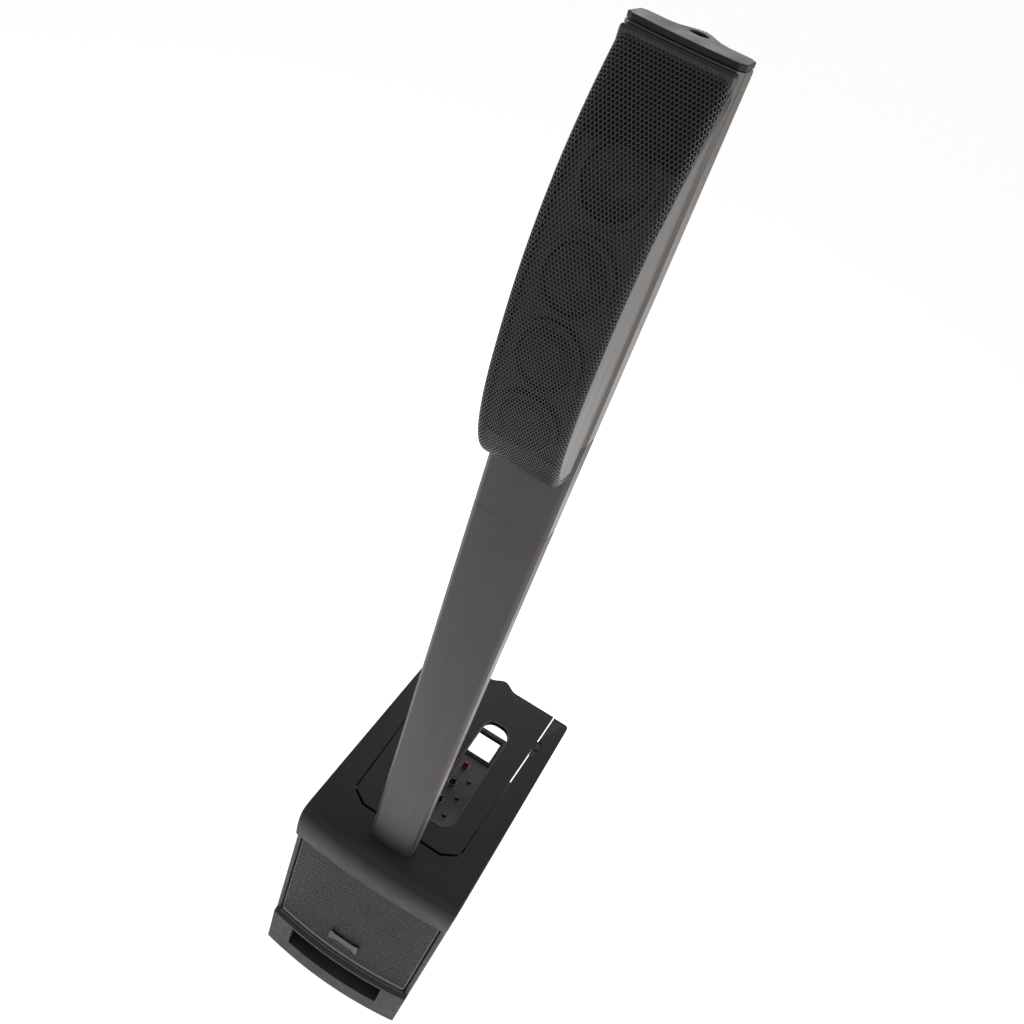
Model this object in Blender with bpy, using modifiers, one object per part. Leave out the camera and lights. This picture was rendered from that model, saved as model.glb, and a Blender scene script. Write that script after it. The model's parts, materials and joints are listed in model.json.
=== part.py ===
"""Portable column loudspeaker: a bass cabinet on the floor, two spacer sections and a curved driver array.

Metres, +Z up. The origin is on the floor, under the middle of the cabinet's footprint. The front faces -Y.
"""

import math

import bmesh
import bpy
from mathutils import Matrix, Vector

# Overall sizes
WIDTH = 0.385
DEPTH = 0.656
BASE_HEIGHT = 0.600
SPACER_LENGTH = 0.466
ARRAY_LENGTH = 0.478

# Fits
GAP = 0.0003
PLUG_PLAY = 0.0005
SEAM = 0.003
KNOB_LIFT = 0.0006

# Cabinet
SIDE_WALL = 0.012
SHELL_WALL = 0.009
PANEL_WALL = 0.003
BOARD = 0.012
FOOT_HEIGHT = 0.008
FOOT_LENGTH = 0.040
FOOT_WIDTH = 0.010
PLINTH_HEIGHT = 0.154
PLINTH_WALL = 0.006
PLINTH_DEPTH = 0.110
PLINTH_CLEAR = 0.003
PLINTH_FLARE = 0.016
FRONT_BOW = 0.015
LIP_BOW = 0.010
LIP_DROP = 0.095
LIP_SQUARE = 0.6
LIP_REACH = 0.043
REAR_BUMP = 0.016
BUMP_HALF = 0.036
COLUMN_SETBACK = 0.110
RECESS_DEPTH = 0.104
ARM_WIDTH = 0.0415
LATCH_LENGTH = 0.045
LATCH_DEPTH = 0.014
LATCH_SETBACK = 0.132
LATCH_FLOOR = 0.003

# Port
PORT_HALF = 0.130
PORT_LOW = 0.060
PORT_HEIGHT = 0.076
DUCT_WALL = 0.003
DUCT_LENGTH = 0.100

# Bass grille and badge
GRILLE_WALL = 0.002
GRILLE_FLANGE = 0.014
GRILLE_ROLL = 0.006
GRILLE_SETBACK = 0.011
GRILLE_CLEAR = 0.006
GRILLE_SIDE_CLEAR = 0.001
WALL_PROUD = 0.001
BADGE_WIDTH = 0.078
BADGE_HEIGHT = 0.034
BADGE_WALL = 0.003
BADGE_SHARE = 0.20
BADGE_STAND = 0.0008

# Tongue with the carrying grip
TONGUE_WALL = 0.012
TONGUE_START = 0.052
TONGUE_TAPER = 0.016
TONGUE_CHAMFER = 0.020
TONGUE_SNIP = 0.036
GRIP_HALF = 0.017
SLOT_HALF = 0.083
SLOT_START = 0.104
SLOT_LENGTH = 0.303
SLOT_FILLET = 0.026
RIB_WALL = 0.008
RIB_INSET = 0.006
RIB_END = 0.010

# Mixer panel
PANEL_START = 0.100
PANEL_TOP_DROP = 0.052
PANEL_LOW_DROP = 0.195
PANEL_LIP = 0.020
KNOB_RADIUS = 0.0075
KNOB_HEIGHT = 0.016
KNOB_COLUMNS = 3
KNOB_ROWS = 3
KNOB_PITCH = 0.040
KNOB_ROW_PITCH = 0.085
KNOB_FIRST_ROW = 0.120
KNOB_CENTRE = -0.021
BUTTON_SIZE = 0.009
BUTTON_STAND = 0.004
BUTTON_PLAY = 0.0006
BUTTON_COUNT = 3
BUTTON_X = 0.052
BUTTON_ROW = 0.080
BUTTON_PITCH = 0.080
SOCKET_RADIUS = 0.0135
SOCKET_FLANGE = 0.0165
SOCKET_DEPTH = 0.028
SOCKET_X = 0.098
SOCKET_PITCH = 0.075

# Rear wall fittings
INLET_WIDTH = 0.030
INLET_HEIGHT = 0.024
INLET_DEPTH = 0.026
INLET_FLANGE = 0.006
SWITCH_WIDTH = 0.013
SWITCH_HEIGHT = 0.020
SWITCH_DEPTH = 0.008
SWITCH_TILT = math.radians(8)
SWITCH_PLAY = 0.0012
FITTING_DROP = 0.105
FITTING_X = 0.050

# Loop handle over the storage recess
LOOP_HALF = 0.079
LOOP_BAR = 0.016
LOOP_REACH = 0.102
LOOP_WALL = 0.012

# Bass driver
WOOFER_RADIUS = 0.127
WOOFER_DEPTH = 0.105
WOOFER_HOLE = 0.116
MAGNET_RADIUS = 0.068
MAGNET_HEIGHT = 0.034
COIL_RADIUS = 0.026
COIL_PLAY = 0.0015

# Electronics
BOARD_WALL = 0.002
BOARD_HALF = 0.090
BOARD_LOW = 0.060
BOARD_HEIGHT = 0.220
FIN_COUNT = 9
FIN_WALL = 0.003
FIN_DEPTH = 0.026
SINK_BASE = 0.005
SINK_CLEAR = 0.086

# Column section
COLUMN_HALF = 0.049
COLUMN_CROWN = 0.003
COLUMN_SIDE = 0.038
COLUMN_CORNER = 0.005
SPINE_DEPTH = 0.019
SPINE_HALF = 0.024
COLUMN_WALL = 0.0025
TENON_HALF = 0.030
TENON_DEPTH = 0.022
TENON_LENGTH = 0.045
TENON_FILLET = 0.006
TENON_AT = 0.020
SOCKET_WALL = 0.005
PLUG_HEIGHT = 0.025

# Array
NECK_LENGTH = 0.136
CAP_HEIGHT = 0.0045
CAP_HOLE = 0.0075
CAP_HOLE_DEPTH = 0.020
CHEEK_HALF = 0.0465
CHEEK_WALL = 0.004
ARRAY_ROLL = 0.009
ARRAY_RIM = 0.0015
ARRAY_GRILLE_WALL = 0.0012
ARRAY_REACH = 0.080
ARRAY_HEAD_ROUND = 2.5
ARRAY_HEAD_DROP = 0.055
ARRAY_TOP_REACH = 0.008
ARRAY_TOP_DROP = 0.008
ARRAY_BELLY_DROP = 0.245
ARRAY_TAIL_DROP = 0.382
ARRAY_TAIL_REACH = 0.002
ARRAY_DRIVERS = 4
ARRAY_DRIVER_RADIUS = 0.0345
ARRAY_DRIVER_DEPTH = 0.030
ARRAY_BAFFLE_SETBACK = 0.014
ARRAY_BAFFLE_WALL = 0.003

# Smoothness
ROUND_STEPS = 40
SMALL_STEPS = 20

# Places that follow from the sizes
FRONT = -DEPTH / 2
FACE = FRONT + PLINTH_FLARE
REAR = DEPTH / 2
HALF = WIDTH / 2
ARM_REAR = REAR - REAR_BUMP
COLUMN_FRONT = FACE + COLUMN_SETBACK
TENON_Y = COLUMN_FRONT + TENON_AT
LIP_TOP_Y = COLUMN_FRONT - 0.004
LIP_Y = LIP_TOP_Y - LIP_REACH
LIP_Z = BASE_HEIGHT - LIP_DROP
SHELL_BOTTOM = BASE_HEIGHT - SHELL_WALL
FLOOR_Z = FOOT_HEIGHT + GAP
RECESS_FRONT = ARM_REAR - RECESS_DEPTH
INNER_HALF = HALF - SIDE_WALL - GAP
TONGUE_HALF = HALF - ARM_WIDTH - SEAM
TONGUE_FRONT = COLUMN_FRONT + TONGUE_START
SPACER_1_Z = BASE_HEIGHT
SPACER_2_Z = SPACER_1_Z + SPACER_LENGTH
ARRAY_Z = SPACER_2_Z + SPACER_LENGTH
TOP_Z = ARRAY_Z + ARRAY_LENGTH
CAP_Z = TOP_Z - CAP_HEIGHT
GRILLE_LOW_Y = FACE + FRONT_BOW + GRILLE_SETBACK
GRILLE_LOW_Z = PLINTH_HEIGHT + GRILLE_CLEAR
GRILLE_TOP_Y = LIP_Y + LIP_BOW + 0.003
GRILLE_TOP_Z = LIP_Z - 0.002
RAKE = math.atan2(GRILLE_TOP_Y - GRILLE_LOW_Y, GRILLE_TOP_Z - GRILLE_LOW_Z)
WOOFER_Z = (GRILLE_LOW_Z + GRILLE_TOP_Z) / 2
BAFFLE_BACK = GRILLE_FLANGE + 0.004
PANEL_FRONT = COLUMN_FRONT + PANEL_START
PANEL_TOP_Z = BASE_HEIGHT - PANEL_TOP_DROP
PANEL_LOW_Z = BASE_HEIGHT - PANEL_LOW_DROP
PANEL_TILT = math.atan2(PANEL_TOP_Z - PANEL_LOW_Z, RECESS_FRONT - PANEL_FRONT)
FITTING_HEIGHT = PANEL_LOW_Z - FITTING_DROP

# Side view (y, z) drawn flat, then stood up across the width
ACROSS = Matrix(((0, 0, 1, 0), (1, 0, 0, 0), (0, 1, 0, 0), (0, 0, 0, 1)))


def collection(name):
    made = bpy.data.collections.new(name)
    bpy.context.scene.collection.children.link(made)
    return made


def clear_scene():
    for thing in list(bpy.data.objects):
        bpy.data.objects.remove(thing)


clear_scene()
PARTS = collection("column_loudspeaker")
CUTTERS = collection("cutters")


def look(name, color, roughness, metallic=0.0):
    """A plain Principled material."""
    made = bpy.data.materials.new(name)
    made.use_nodes = True
    shader = made.node_tree.nodes["Principled BSDF"]
    shader.inputs["Base Color"].default_value = (*color, 1.0)
    shader.inputs["Roughness"].default_value = roughness
    shader.inputs["Metallic"].default_value = metallic
    return made


def charcoal(name):
    return look(name, (0.030, 0.030, 0.032), 0.45)


def dark_metal(name):
    return look(name, (0.015, 0.015, 0.016), 0.40, 0.6)


def warm_grey(name):
    return look(name, (0.075, 0.068, 0.063), 0.38)


def black(name):
    return look(name, (0.010, 0.010, 0.011), 0.55)


def bare_metal(name):
    return look(name, (0.55, 0.56, 0.58), 0.35, 0.9)


def part(name, bm, make_look):
    """Puts a mesh into the model as one named part."""
    mesh = bpy.data.meshes.new(name)
    bm.to_mesh(mesh)
    bm.free()
    mesh.materials.append(make_look(name))
    mesh.shade_smooth()
    mesh.set_sharp_from_angle(angle=math.radians(35))
    made = bpy.data.objects.new(name, mesh)
    PARTS.objects.link(made)
    return made


def tool(name, bm):
    """A mesh that only cuts or joins another."""
    mesh = bpy.data.meshes.new(name)
    bm.to_mesh(mesh)
    bm.free()
    made = bpy.data.objects.new(name, mesh)
    made.hide_render = True
    made.display_type = "WIRE"
    CUTTERS.objects.link(made)
    return made


def boolean(target, bm, operation):
    made = tool(f"{target.name}_{operation.lower()}_{len(target.modifiers)}", bm)
    made.parent = target.parent
    made.location = target.location
    made.rotation_euler = target.rotation_euler
    modifier = target.modifiers.new(operation.title(), "BOOLEAN")
    modifier.operation = operation
    modifier.solver = "EXACT"
    modifier.object = made


def cut(target, bm):
    boolean(target, bm, "DIFFERENCE")


def join(target, bm):
    boolean(target, bm, "UNION")


def soften(target, width, segments=2, angle=50):
    modifier = target.modifiers.new("Bevel", "BEVEL")
    modifier.width = width
    modifier.segments = segments
    modifier.limit_method = "ANGLE"
    modifier.angle_limit = math.radians(angle)


def bevel_edges(bm, edges, width, segments):
    bmesh.ops.bevel(
        bm,
        geom=edges,
        offset=width,
        segments=segments,
        profile=0.5,
        affect="EDGES",
        clamp_overlap=True,
        material=-1,
    )


def round_edges(bm, width, segments=2, angle=50):
    """Rounds a mesh's sharp outer edges and leaves its inner corners sharp."""
    bm.normal_update()
    edges = [
        edge
        for edge in bm.edges
        if len(edge.link_faces) == 2 and edge.is_convex and edge.calc_face_angle() > math.radians(angle)
    ]
    bevel_edges(bm, edges, width, segments)


def block(low, high):
    """A box between two corners."""
    bm = bmesh.new()
    bmesh.ops.create_cube(bm, size=1.0)
    size = Vector(high) - Vector(low)
    bmesh.ops.scale(bm, vec=size, verts=bm.verts)
    bmesh.ops.translate(bm, vec=(Vector(high) + Vector(low)) / 2, verts=bm.verts)
    return bm


def rod(radius, low, high, steps=SMALL_STEPS):
    """A cylinder along Z."""
    bm = bmesh.new()
    bmesh.ops.create_cone(bm, cap_ends=True, segments=steps, radius1=radius, radius2=radius, depth=high - low)
    bmesh.ops.translate(bm, vec=(0, 0, (high + low) / 2), verts=bm.verts)
    return bm


def slab(rings, low, high):
    """A flat outline, with its holes, made solid between two heights."""
    curve = bpy.data.curves.new("outline", "CURVE")
    curve.dimensions = "2D"
    curve.fill_mode = "BOTH"
    curve.extrude = (high - low) / 2
    for ring in rings:
        spline = curve.splines.new("POLY")
        spline.points.add(len(ring) - 1)
        for point, (x, y) in zip(spline.points, ring):
            point.co = (x, y, 0, 1)
        spline.use_cyclic_u = True
    guide = bpy.data.objects.new("outline", curve)
    CUTTERS.objects.link(guide)
    bpy.context.view_layer.update()
    mesh = bpy.data.meshes.new_from_object(guide.evaluated_get(bpy.context.evaluated_depsgraph_get()))
    bpy.data.objects.remove(guide)
    bm = bmesh.new()
    bm.from_mesh(mesh)
    bmesh.ops.remove_doubles(bm, verts=bm.verts, dist=1e-6)
    bmesh.ops.dissolve_limit(bm, angle_limit=math.radians(0.5), verts=bm.verts, edges=bm.edges)
    bmesh.ops.translate(bm, vec=(0, 0, (high + low) / 2), verts=bm.verts)
    return bm


def side_slab(rings, low_x, high_x):
    """A side-view outline made solid across the width."""
    bm = slab(rings, low_x, high_x)
    bm.transform(ACROSS)
    return bm


def mapped_grid(columns, rows, place):
    """A grid whose crossings are put in place by a formula."""
    bm = bmesh.new()
    bmesh.ops.create_grid(bm, x_segments=columns, y_segments=rows, size=0.5)
    for vert in bm.verts:
        column = round((vert.co.x + 0.5) * columns)
        row = round((vert.co.y + 0.5) * rows)
        vert.co = place(column, row)
    return bm


def turned(name, profile, make_look, steps, closed):
    """A profile turned about Z: down its outer side, from top to bottom."""
    bm = bmesh.new()
    verts = [bm.verts.new((r, 0, z)) for r, z in profile]
    pairs = list(zip(verts, verts[1:]))
    if closed:
        pairs.append((verts[-1], verts[0]))
    for first, second in pairs:
        bm.edges.new((first, second))
    made = part(name, bm, make_look)
    screw = made.modifiers.new("Screw", "SCREW")
    screw.steps = steps
    screw.render_steps = steps
    screw.use_merge_vertices = True
    screw.merge_threshold = 0.00001
    screw.use_smooth_shade = True
    return made


def inset(ring, distance):
    """A closed outline moved inwards by a distance; the outline runs anticlockwise."""
    moved = []
    count = len(ring)
    for index in range(count):
        before, here, after = (Vector(ring[(index + k) % count]) for k in (-1, 0, 1))
        first = (here - before).normalized()
        second = (after - here).normalized()
        inward = Vector((-first.y, first.x)) + Vector((-second.y, second.x))
        inward.normalize()
        reach = distance / max(0.3, inward.dot(Vector((-first.y, first.x))))
        moved.append(tuple(here + inward * reach))
    return moved


def rounded_rectangle(half_x, half_y, fillet, centre=(0.0, 0.0), steps=4):
    ring = []
    for quarter, (sx, sy) in enumerate(((1, 1), (-1, 1), (-1, -1), (1, -1))):
        for step in range(steps + 1):
            turn = math.pi / 2 * (quarter + step / steps)
            x = centre[0] + sx * (half_x - fillet) + fillet * math.cos(turn)
            y = centre[1] + sy * (half_y - fillet) + fillet * math.sin(turn)
            ring.append((x, y))
    return ring


def tenon_outline(play):
    """The foot that joins one column piece to the next, in plan, made larger all round by some play."""
    return rounded_rectangle(TENON_HALF + play, TENON_DEPTH / 2 + play, TENON_FILLET, (0, TENON_Y))


def bow(x, amount):
    """How far a bowed front stands forward at x."""
    return amount * (1 - (x / HALF) ** 2)


def bow_front(bm, amount, from_y, to_y, slices=10):
    """Cuts a mesh into slices across the width and bows its front part forward."""
    for index in range(1, slices):
        x = -HALF + WIDTH * index / slices
        geometry = bm.verts[:] + bm.edges[:] + bm.faces[:]
        bmesh.ops.bisect_plane(bm, geom=geometry, dist=1e-6, plane_co=(x, 0, 0), plane_no=(1, 0, 0))
    for vert in bm.verts:
        share = min(1.0, max(0.0, (from_y - vert.co.y) / (from_y - to_y)))
        vert.co.y -= bow(vert.co.x, amount) * share


# Cabinet --------------------------------------------------------------------


def plinth():
    """The lower front moulding, with the port slot and a sloped ledge under the grille."""
    ledge = 0.010
    back = FACE + PLINTH_DEPTH
    outside = [
        (FRONT + FRONT_BOW, PLINTH_CLEAR),
        (back, PLINTH_CLEAR),
        (back, PLINTH_HEIGHT),
        (FACE + FRONT_BOW + ledge, PLINTH_HEIGHT),
        (FACE + FRONT_BOW, PLINTH_HEIGHT - ledge),
    ]
    bm = side_slab([outside], -HALF, HALF)
    bow_front(bm, FRONT_BOW, back, FACE + FRONT_BOW + ledge)
    made = part("plinth", bm, charcoal)
    inside = [
        (FRONT + FRONT_BOW + PLINTH_WALL, 0.0),
        (back + PLINTH_WALL, 0.0),
        (back + PLINTH_WALL, PLINTH_HEIGHT - PLINTH_WALL),
        (FACE + FRONT_BOW + ledge + PLINTH_WALL / 2, PLINTH_HEIGHT - PLINTH_WALL),
        (FACE + FRONT_BOW + PLINTH_WALL, PLINTH_HEIGHT - ledge - PLINTH_WALL / 2),
    ]
    hollow = side_slab([inside], -HALF + PLINTH_WALL, HALF - PLINTH_WALL)
    bow_front(hollow, FRONT_BOW, back, FACE + FRONT_BOW + ledge)
    cut(made, hollow)
    low = (-PORT_HALF, FRONT - GRILLE_SETBACK, PORT_LOW)
    high = (PORT_HALF, back - 2 * PLINTH_WALL, PORT_LOW + PORT_HEIGHT)
    cut(made, block(low, high))


def port_duct():
    """The flat duct that joins the port slot to the inside of the cabinet."""
    start = FACE + FRONT_BOW + PLINTH_WALL + GAP
    end = start + DUCT_LENGTH
    outer = block(
        (-PORT_HALF - DUCT_WALL, start, PORT_LOW - DUCT_WALL),
        (PORT_HALF + DUCT_WALL, end, PORT_LOW + PORT_HEIGHT + DUCT_WALL),
    )
    for vert in outer.verts:
        if vert.co.y < end - DUCT_WALL and vert.co.z < PORT_LOW:
            vert.co.y -= PLINTH_FLARE * PORT_HEIGHT / PLINTH_HEIGHT
    bow_front(outer, FRONT_BOW, end, start)
    made = part("port_duct", outer, black)
    low = (-PORT_HALF, FRONT - GAP, PORT_LOW)
    high = (PORT_HALF, end + DUCT_WALL, PORT_LOW + PORT_HEIGHT)
    cut(made, block(low, high))


def cabinet_floor():
    low_y = FACE + PLINTH_DEPTH + GAP
    bm = block((-INNER_HALF, low_y, FLOOR_Z), (INNER_HALF, RECESS_FRONT - GAP, FLOOR_Z + BOARD))
    part("cabinet_floor", bm, black)


def rake_y(z, back):
    """The y of the raked front at a height, a distance behind the grille's flat corner line."""
    return GRILLE_LOW_Y + (z - GRILLE_LOW_Z) * math.tan(RAKE) + back / math.cos(RAKE)


def lip_point(inward, turn):
    """A place (y, z) on the rolled lip, some way inside it; the turn is 0 at the top and 1 below."""
    angle = math.pi / 2 * turn
    out = max(0.0, math.sin(angle)) ** LIP_SQUARE
    up = max(0.0, math.cos(angle)) ** LIP_SQUARE
    return (LIP_TOP_Y - (LIP_REACH - inward) * out, LIP_Z + (LIP_DROP - inward) * up)


def side_panel(name, side):
    """One side wall of the cabinet, from the plinth back to the end of the arms."""
    top = SHELL_BOTTOM - GAP
    low_z = PLINTH_HEIGHT + GAP
    back = -WALL_PROUD
    lip_y, lip_z = lip_point(SHELL_WALL + GAP, 0.9)
    outline = [
        (FACE + PLINTH_DEPTH + GAP, FLOOR_Z),
        (ARM_REAR - 0.002, FLOOR_Z),
        (ARM_REAR - 0.002, top),
        (LIP_TOP_Y, top),
    ]
    outline += [lip_point(SHELL_WALL + GAP, turn) for turn in (0.25, 0.5, 0.75)]
    outline += [
        (max(lip_y, rake_y(lip_z, back)), lip_z),
        (rake_y(low_z, back), low_z),
        (FACE + PLINTH_DEPTH + GAP, low_z),
    ]
    bm = side_slab([outline], HALF - SIDE_WALL, HALF)
    if side < 0:
        bmesh.ops.translate(bm, vec=(-WIDTH + SIDE_WALL, 0, 0), verts=bm.verts)
    round_edges(bm, 0.003)
    part(name, bm, charcoal)


def foot(name, side, y):
    """A rubber pad under a side wall."""
    x = side * (HALF - SIDE_WALL / 2)
    low = (x - FOOT_WIDTH / 2, y - FOOT_LENGTH / 2, 0)
    high = (x + FOOT_WIDTH / 2, y + FOOT_LENGTH / 2, FOOT_HEIGHT)
    made = part(name, block(low, high), black)
    soften(made, 0.0015)


def front_baffle():
    """The raked board that carries the bass driver."""
    low = PLINTH_HEIGHT + 2 * GAP
    high = LIP_Z + 0.030
    outline = [
        (rake_y(low, BAFFLE_BACK), low),
        (rake_y(low, BAFFLE_BACK + BOARD), low),
        (rake_y(high, BAFFLE_BACK + BOARD), high),
        (rake_y(high, BAFFLE_BACK), high),
    ]
    half = INNER_HALF
    made = part("front_baffle", side_slab([outline], -half, half), black)
    hole = rod(WOOFER_HOLE, -BOARD * 3, BOARD * 3, ROUND_STEPS)
    hole.transform(woofer_frame())
    cut(made, hole)


def woofer_frame():
    """The bass driver's own frame: Z out of the baffle, at the baffle's front face."""
    place = Matrix.Translation((0, rake_y(WOOFER_Z, BAFFLE_BACK), WOOFER_Z))
    return place @ Matrix.Rotation(math.pi / 2 - RAKE, 4, "X")


def bass_driver():
    axis = bpy.data.objects.new("woofer_axis", None)
    PARTS.objects.link(axis)
    axis.matrix_world = woofer_frame()
    flange = 0.005
    seat = GAP
    basket = [
        (WOOFER_RADIUS, seat + flange),
        (WOOFER_RADIUS, seat),
        (WOOFER_HOLE - 0.001, seat),
        (WOOFER_HOLE - 0.006, -0.020),
        (MAGNET_RADIUS, -WOOFER_DEPTH + MAGNET_HEIGHT),
        (COIL_RADIUS + COIL_PLAY, -WOOFER_DEPTH + MAGNET_HEIGHT),
        (COIL_RADIUS + COIL_PLAY, -WOOFER_DEPTH + MAGNET_HEIGHT + 0.003),
        (MAGNET_RADIUS - 0.003, -WOOFER_DEPTH + MAGNET_HEIGHT + 0.003),
        (WOOFER_HOLE - 0.009, -0.020),
        (WOOFER_HOLE - 0.006, seat + flange),
    ]
    top = -WOOFER_DEPTH + MAGNET_HEIGHT - GAP
    magnet = [
        (MAGNET_RADIUS, top),
        (MAGNET_RADIUS, top - MAGNET_HEIGHT + GAP),
        (COIL_RADIUS + COIL_PLAY, top - MAGNET_HEIGHT + GAP),
        (COIL_RADIUS + COIL_PLAY, top),
    ]
    rim = WOOFER_HOLE - 0.0085
    cone = [
        (0, -0.028),
        (0.018, -0.031),
        (0.034, -0.041),
        (rim - 0.014, -0.004),
        (rim - 0.007, 0.003),
        (rim, -0.001),
        (rim - 0.001, -0.003),
        (rim - 0.007, 0.000),
        (rim - 0.014, -0.007),
        (0.034, -0.044),
        (COIL_RADIUS, -0.046),
        (COIL_RADIUS, -WOOFER_DEPTH + 0.018),
        (0, -WOOFER_DEPTH + 0.018),
    ]
    for made in (
        turned("woofer_basket", basket, dark_metal, ROUND_STEPS, True),
        turned("woofer_magnet", magnet, dark_metal, ROUND_STEPS, True),
        turned("woofer_cone", cone, black, ROUND_STEPS, False),
    ):
        made.parent = axis


def rear_wall():
    """The upright wall between the sealed box and the storage recess, with the mains fittings in it."""
    low = (-INNER_HALF, RECESS_FRONT, FLOOR_Z)
    high = (INNER_HALF, RECESS_FRONT + SHELL_WALL, PANEL_LOW_Z - PANEL_LIP - GAP)
    made = part("rear_wall", block(low, high), charcoal)
    for x, width, height, play in (
        (-FITTING_X, INLET_WIDTH, INLET_HEIGHT, GAP),
        (FITTING_X, SWITCH_WIDTH, SWITCH_HEIGHT, SWITCH_PLAY),
    ):
        half_x = width / 2 + play
        half_z = height / 2 + play
        low = (x - half_x, RECESS_FRONT - SHELL_WALL, FITTING_HEIGHT - half_z)
        high = (x + half_x, RECESS_FRONT + 2 * SHELL_WALL, FITTING_HEIGHT + half_z)
        cut(made, block(low, high))


def power_inlet():
    """The mains inlet: a flange on the rear wall and a body behind it, with a socket for the cord."""
    face = RECESS_FRONT + SHELL_WALL + GAP
    half_x = INLET_WIDTH / 2
    half_z = INLET_HEIGHT / 2
    lip = INLET_FLANGE
    flange = block(
        (-FITTING_X - half_x - lip, face, FITTING_HEIGHT - half_z - lip),
        (-FITTING_X + half_x + lip, face + 0.003, FITTING_HEIGHT + half_z + lip),
    )
    made = part("power_inlet", flange, black)
    low = (-FITTING_X - half_x, face - INLET_DEPTH, FITTING_HEIGHT - half_z)
    high = (-FITTING_X + half_x, face + 0.001, FITTING_HEIGHT + half_z)
    join(made, block(low, high))
    wall = 0.003
    mouth_low = (low[0] + wall, face - INLET_DEPTH + 2 * wall, low[2] + wall)
    mouth_high = (high[0] - wall, face + 0.010, high[2] - wall)
    cut(made, block(mouth_low, mouth_high))


def power_switch():
    """A rocker that tilts about X in its own hole in the rear wall."""
    half = (SWITCH_WIDTH / 2, SWITCH_DEPTH / 2, SWITCH_HEIGHT / 2)
    made = part("power_switch", block([-h for h in half], half), black)
    made.location = (FITTING_X, RECESS_FRONT + SHELL_WALL - SWITCH_DEPTH * 0.1, FITTING_HEIGHT)
    made.rotation_euler = (SWITCH_TILT, 0, 0)
    soften(made, 0.001)


def heatsink():
    """A finned block on the inside of the rear wall, clear of the mains fittings above it."""
    back = RECESS_FRONT - GAP - 0.030
    front = back - SINK_BASE
    pitch = (2 * BOARD_HALF - FIN_WALL) / (FIN_COUNT - 1)
    ring = [(-BOARD_HALF, front), (BOARD_HALF, front)]
    for index in reversed(range(FIN_COUNT)):
        x = -BOARD_HALF + pitch * index
        tip = back + FIN_DEPTH
        ring += [(x + FIN_WALL, back), (x + FIN_WALL, tip), (x, tip), (x, back)]
    ring = [ring[0], ring[1]] + ring[3:-1]
    part("heatsink", slab([ring], BOARD_LOW, FITTING_HEIGHT - SINK_CLEAR), bare_metal)


def amplifier_board():
    """The circuit board that stands against the heatsink."""
    back = RECESS_FRONT - GAP - 0.030 - SINK_BASE - GAP
    bm = block(
        (-BOARD_HALF, back - BOARD_WALL, BOARD_LOW),
        (BOARD_HALF, back, BOARD_LOW + BOARD_HEIGHT),
    )
    made = part("amplifier_board", bm, lambda name: look(name, (0.02, 0.10, 0.05), 0.5))
    for x in (-0.045, 0.045):
        can = rod(0.012, 0, 0.030)
        spot = Matrix.Translation((x, back - BOARD_WALL / 2, BOARD_LOW + 0.050))
        can.transform(spot @ Matrix.Rotation(math.pi / 2, 4, "X"))
        join(made, can)


# Top of the cabinet ---------------------------------------------------------


def tongue_half(y):
    """Half the tongue's width at a place along it: it narrows towards its front."""
    front = TONGUE_FRONT + TONGUE_CHAMFER
    return TONGUE_HALF - TONGUE_TAPER * (ARM_REAR - y) / (ARM_REAR - front)


def top_shell():
    """The top cover: a bridge under the column with a rolled front lip, and an arm along each side."""
    steps = 8
    outer = [lip_point(0, step / steps) for step in range(steps + 1)]
    inner = [lip_point(SHELL_WALL, step / steps) for step in range(steps + 1)]
    outline = [(ARM_REAR, BASE_HEIGHT)] + outer + inner[::-1] + [(ARM_REAR, SHELL_BOTTOM)]
    bm = side_slab([outline], -HALF, HALF)
    bm.normal_update()
    rims = [
        edge
        for edge in bm.edges
        if len(edge.link_faces) == 2
        and edge.calc_face_angle() > math.radians(60)
        and all(abs(abs(vert.co.x) - HALF) < 1e-6 for vert in edge.verts)
    ]
    bevel_edges(bm, rims, 0.0035, 2)
    bow_front(bm, LIP_BOW, LIP_TOP_Y, LIP_Y)
    made = part("top_shell", bm, charcoal)
    gap = TONGUE_HALF + SEAM
    narrow = gap - TONGUE_TAPER
    mouth = [
        (-gap, REAR),
        (-gap, ARM_REAR),
        (-narrow, TONGUE_FRONT - SEAM + TONGUE_CHAMFER),
        (-narrow + TONGUE_SNIP, TONGUE_FRONT - 2 * SEAM),
        (narrow - TONGUE_SNIP, TONGUE_FRONT - 2 * SEAM),
        (narrow, TONGUE_FRONT - SEAM + TONGUE_CHAMFER),
        (gap, ARM_REAR),
        (gap, REAR),
    ]
    cut(made, slab([mouth], SHELL_BOTTOM - SHELL_WALL, BASE_HEIGHT + SHELL_WALL))
    cut(made, slab([tenon_outline(PLUG_PLAY)], SHELL_BOTTOM - SHELL_WALL, BASE_HEIGHT + SHELL_WALL))
    start = ARM_REAR - LATCH_SETBACK
    for side in (-1, 1):
        x = side * (tongue_half(start) + SEAM)
        low = (x - LATCH_DEPTH, start, SHELL_BOTTOM + LATCH_FLOOR)
        high = (x + LATCH_DEPTH, start + LATCH_LENGTH, BASE_HEIGHT + SHELL_WALL)
        cut(made, block(low, high))


def bump_outline(half, front, rear):
    """The tongue's outline in plan, from its chamfered front to the raised middle of its rear edge."""
    narrow = half - TONGUE_TAPER
    ring = [
        (-narrow + TONGUE_SNIP, front),
        (narrow - TONGUE_SNIP, front),
        (narrow, front + TONGUE_CHAMFER),
        (half, rear),
    ]
    steps = 10
    for step in range(steps + 1):
        x = BUMP_HALF * (1 - 2 * step / steps)
        rise = REAR_BUMP * 0.5 * (1 + math.cos(math.pi * x / BUMP_HALF))
        ring.append((x, rear + rise))
    ring += [(-half, rear), (-narrow, front + TONGUE_CHAMFER)]
    return ring


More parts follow.
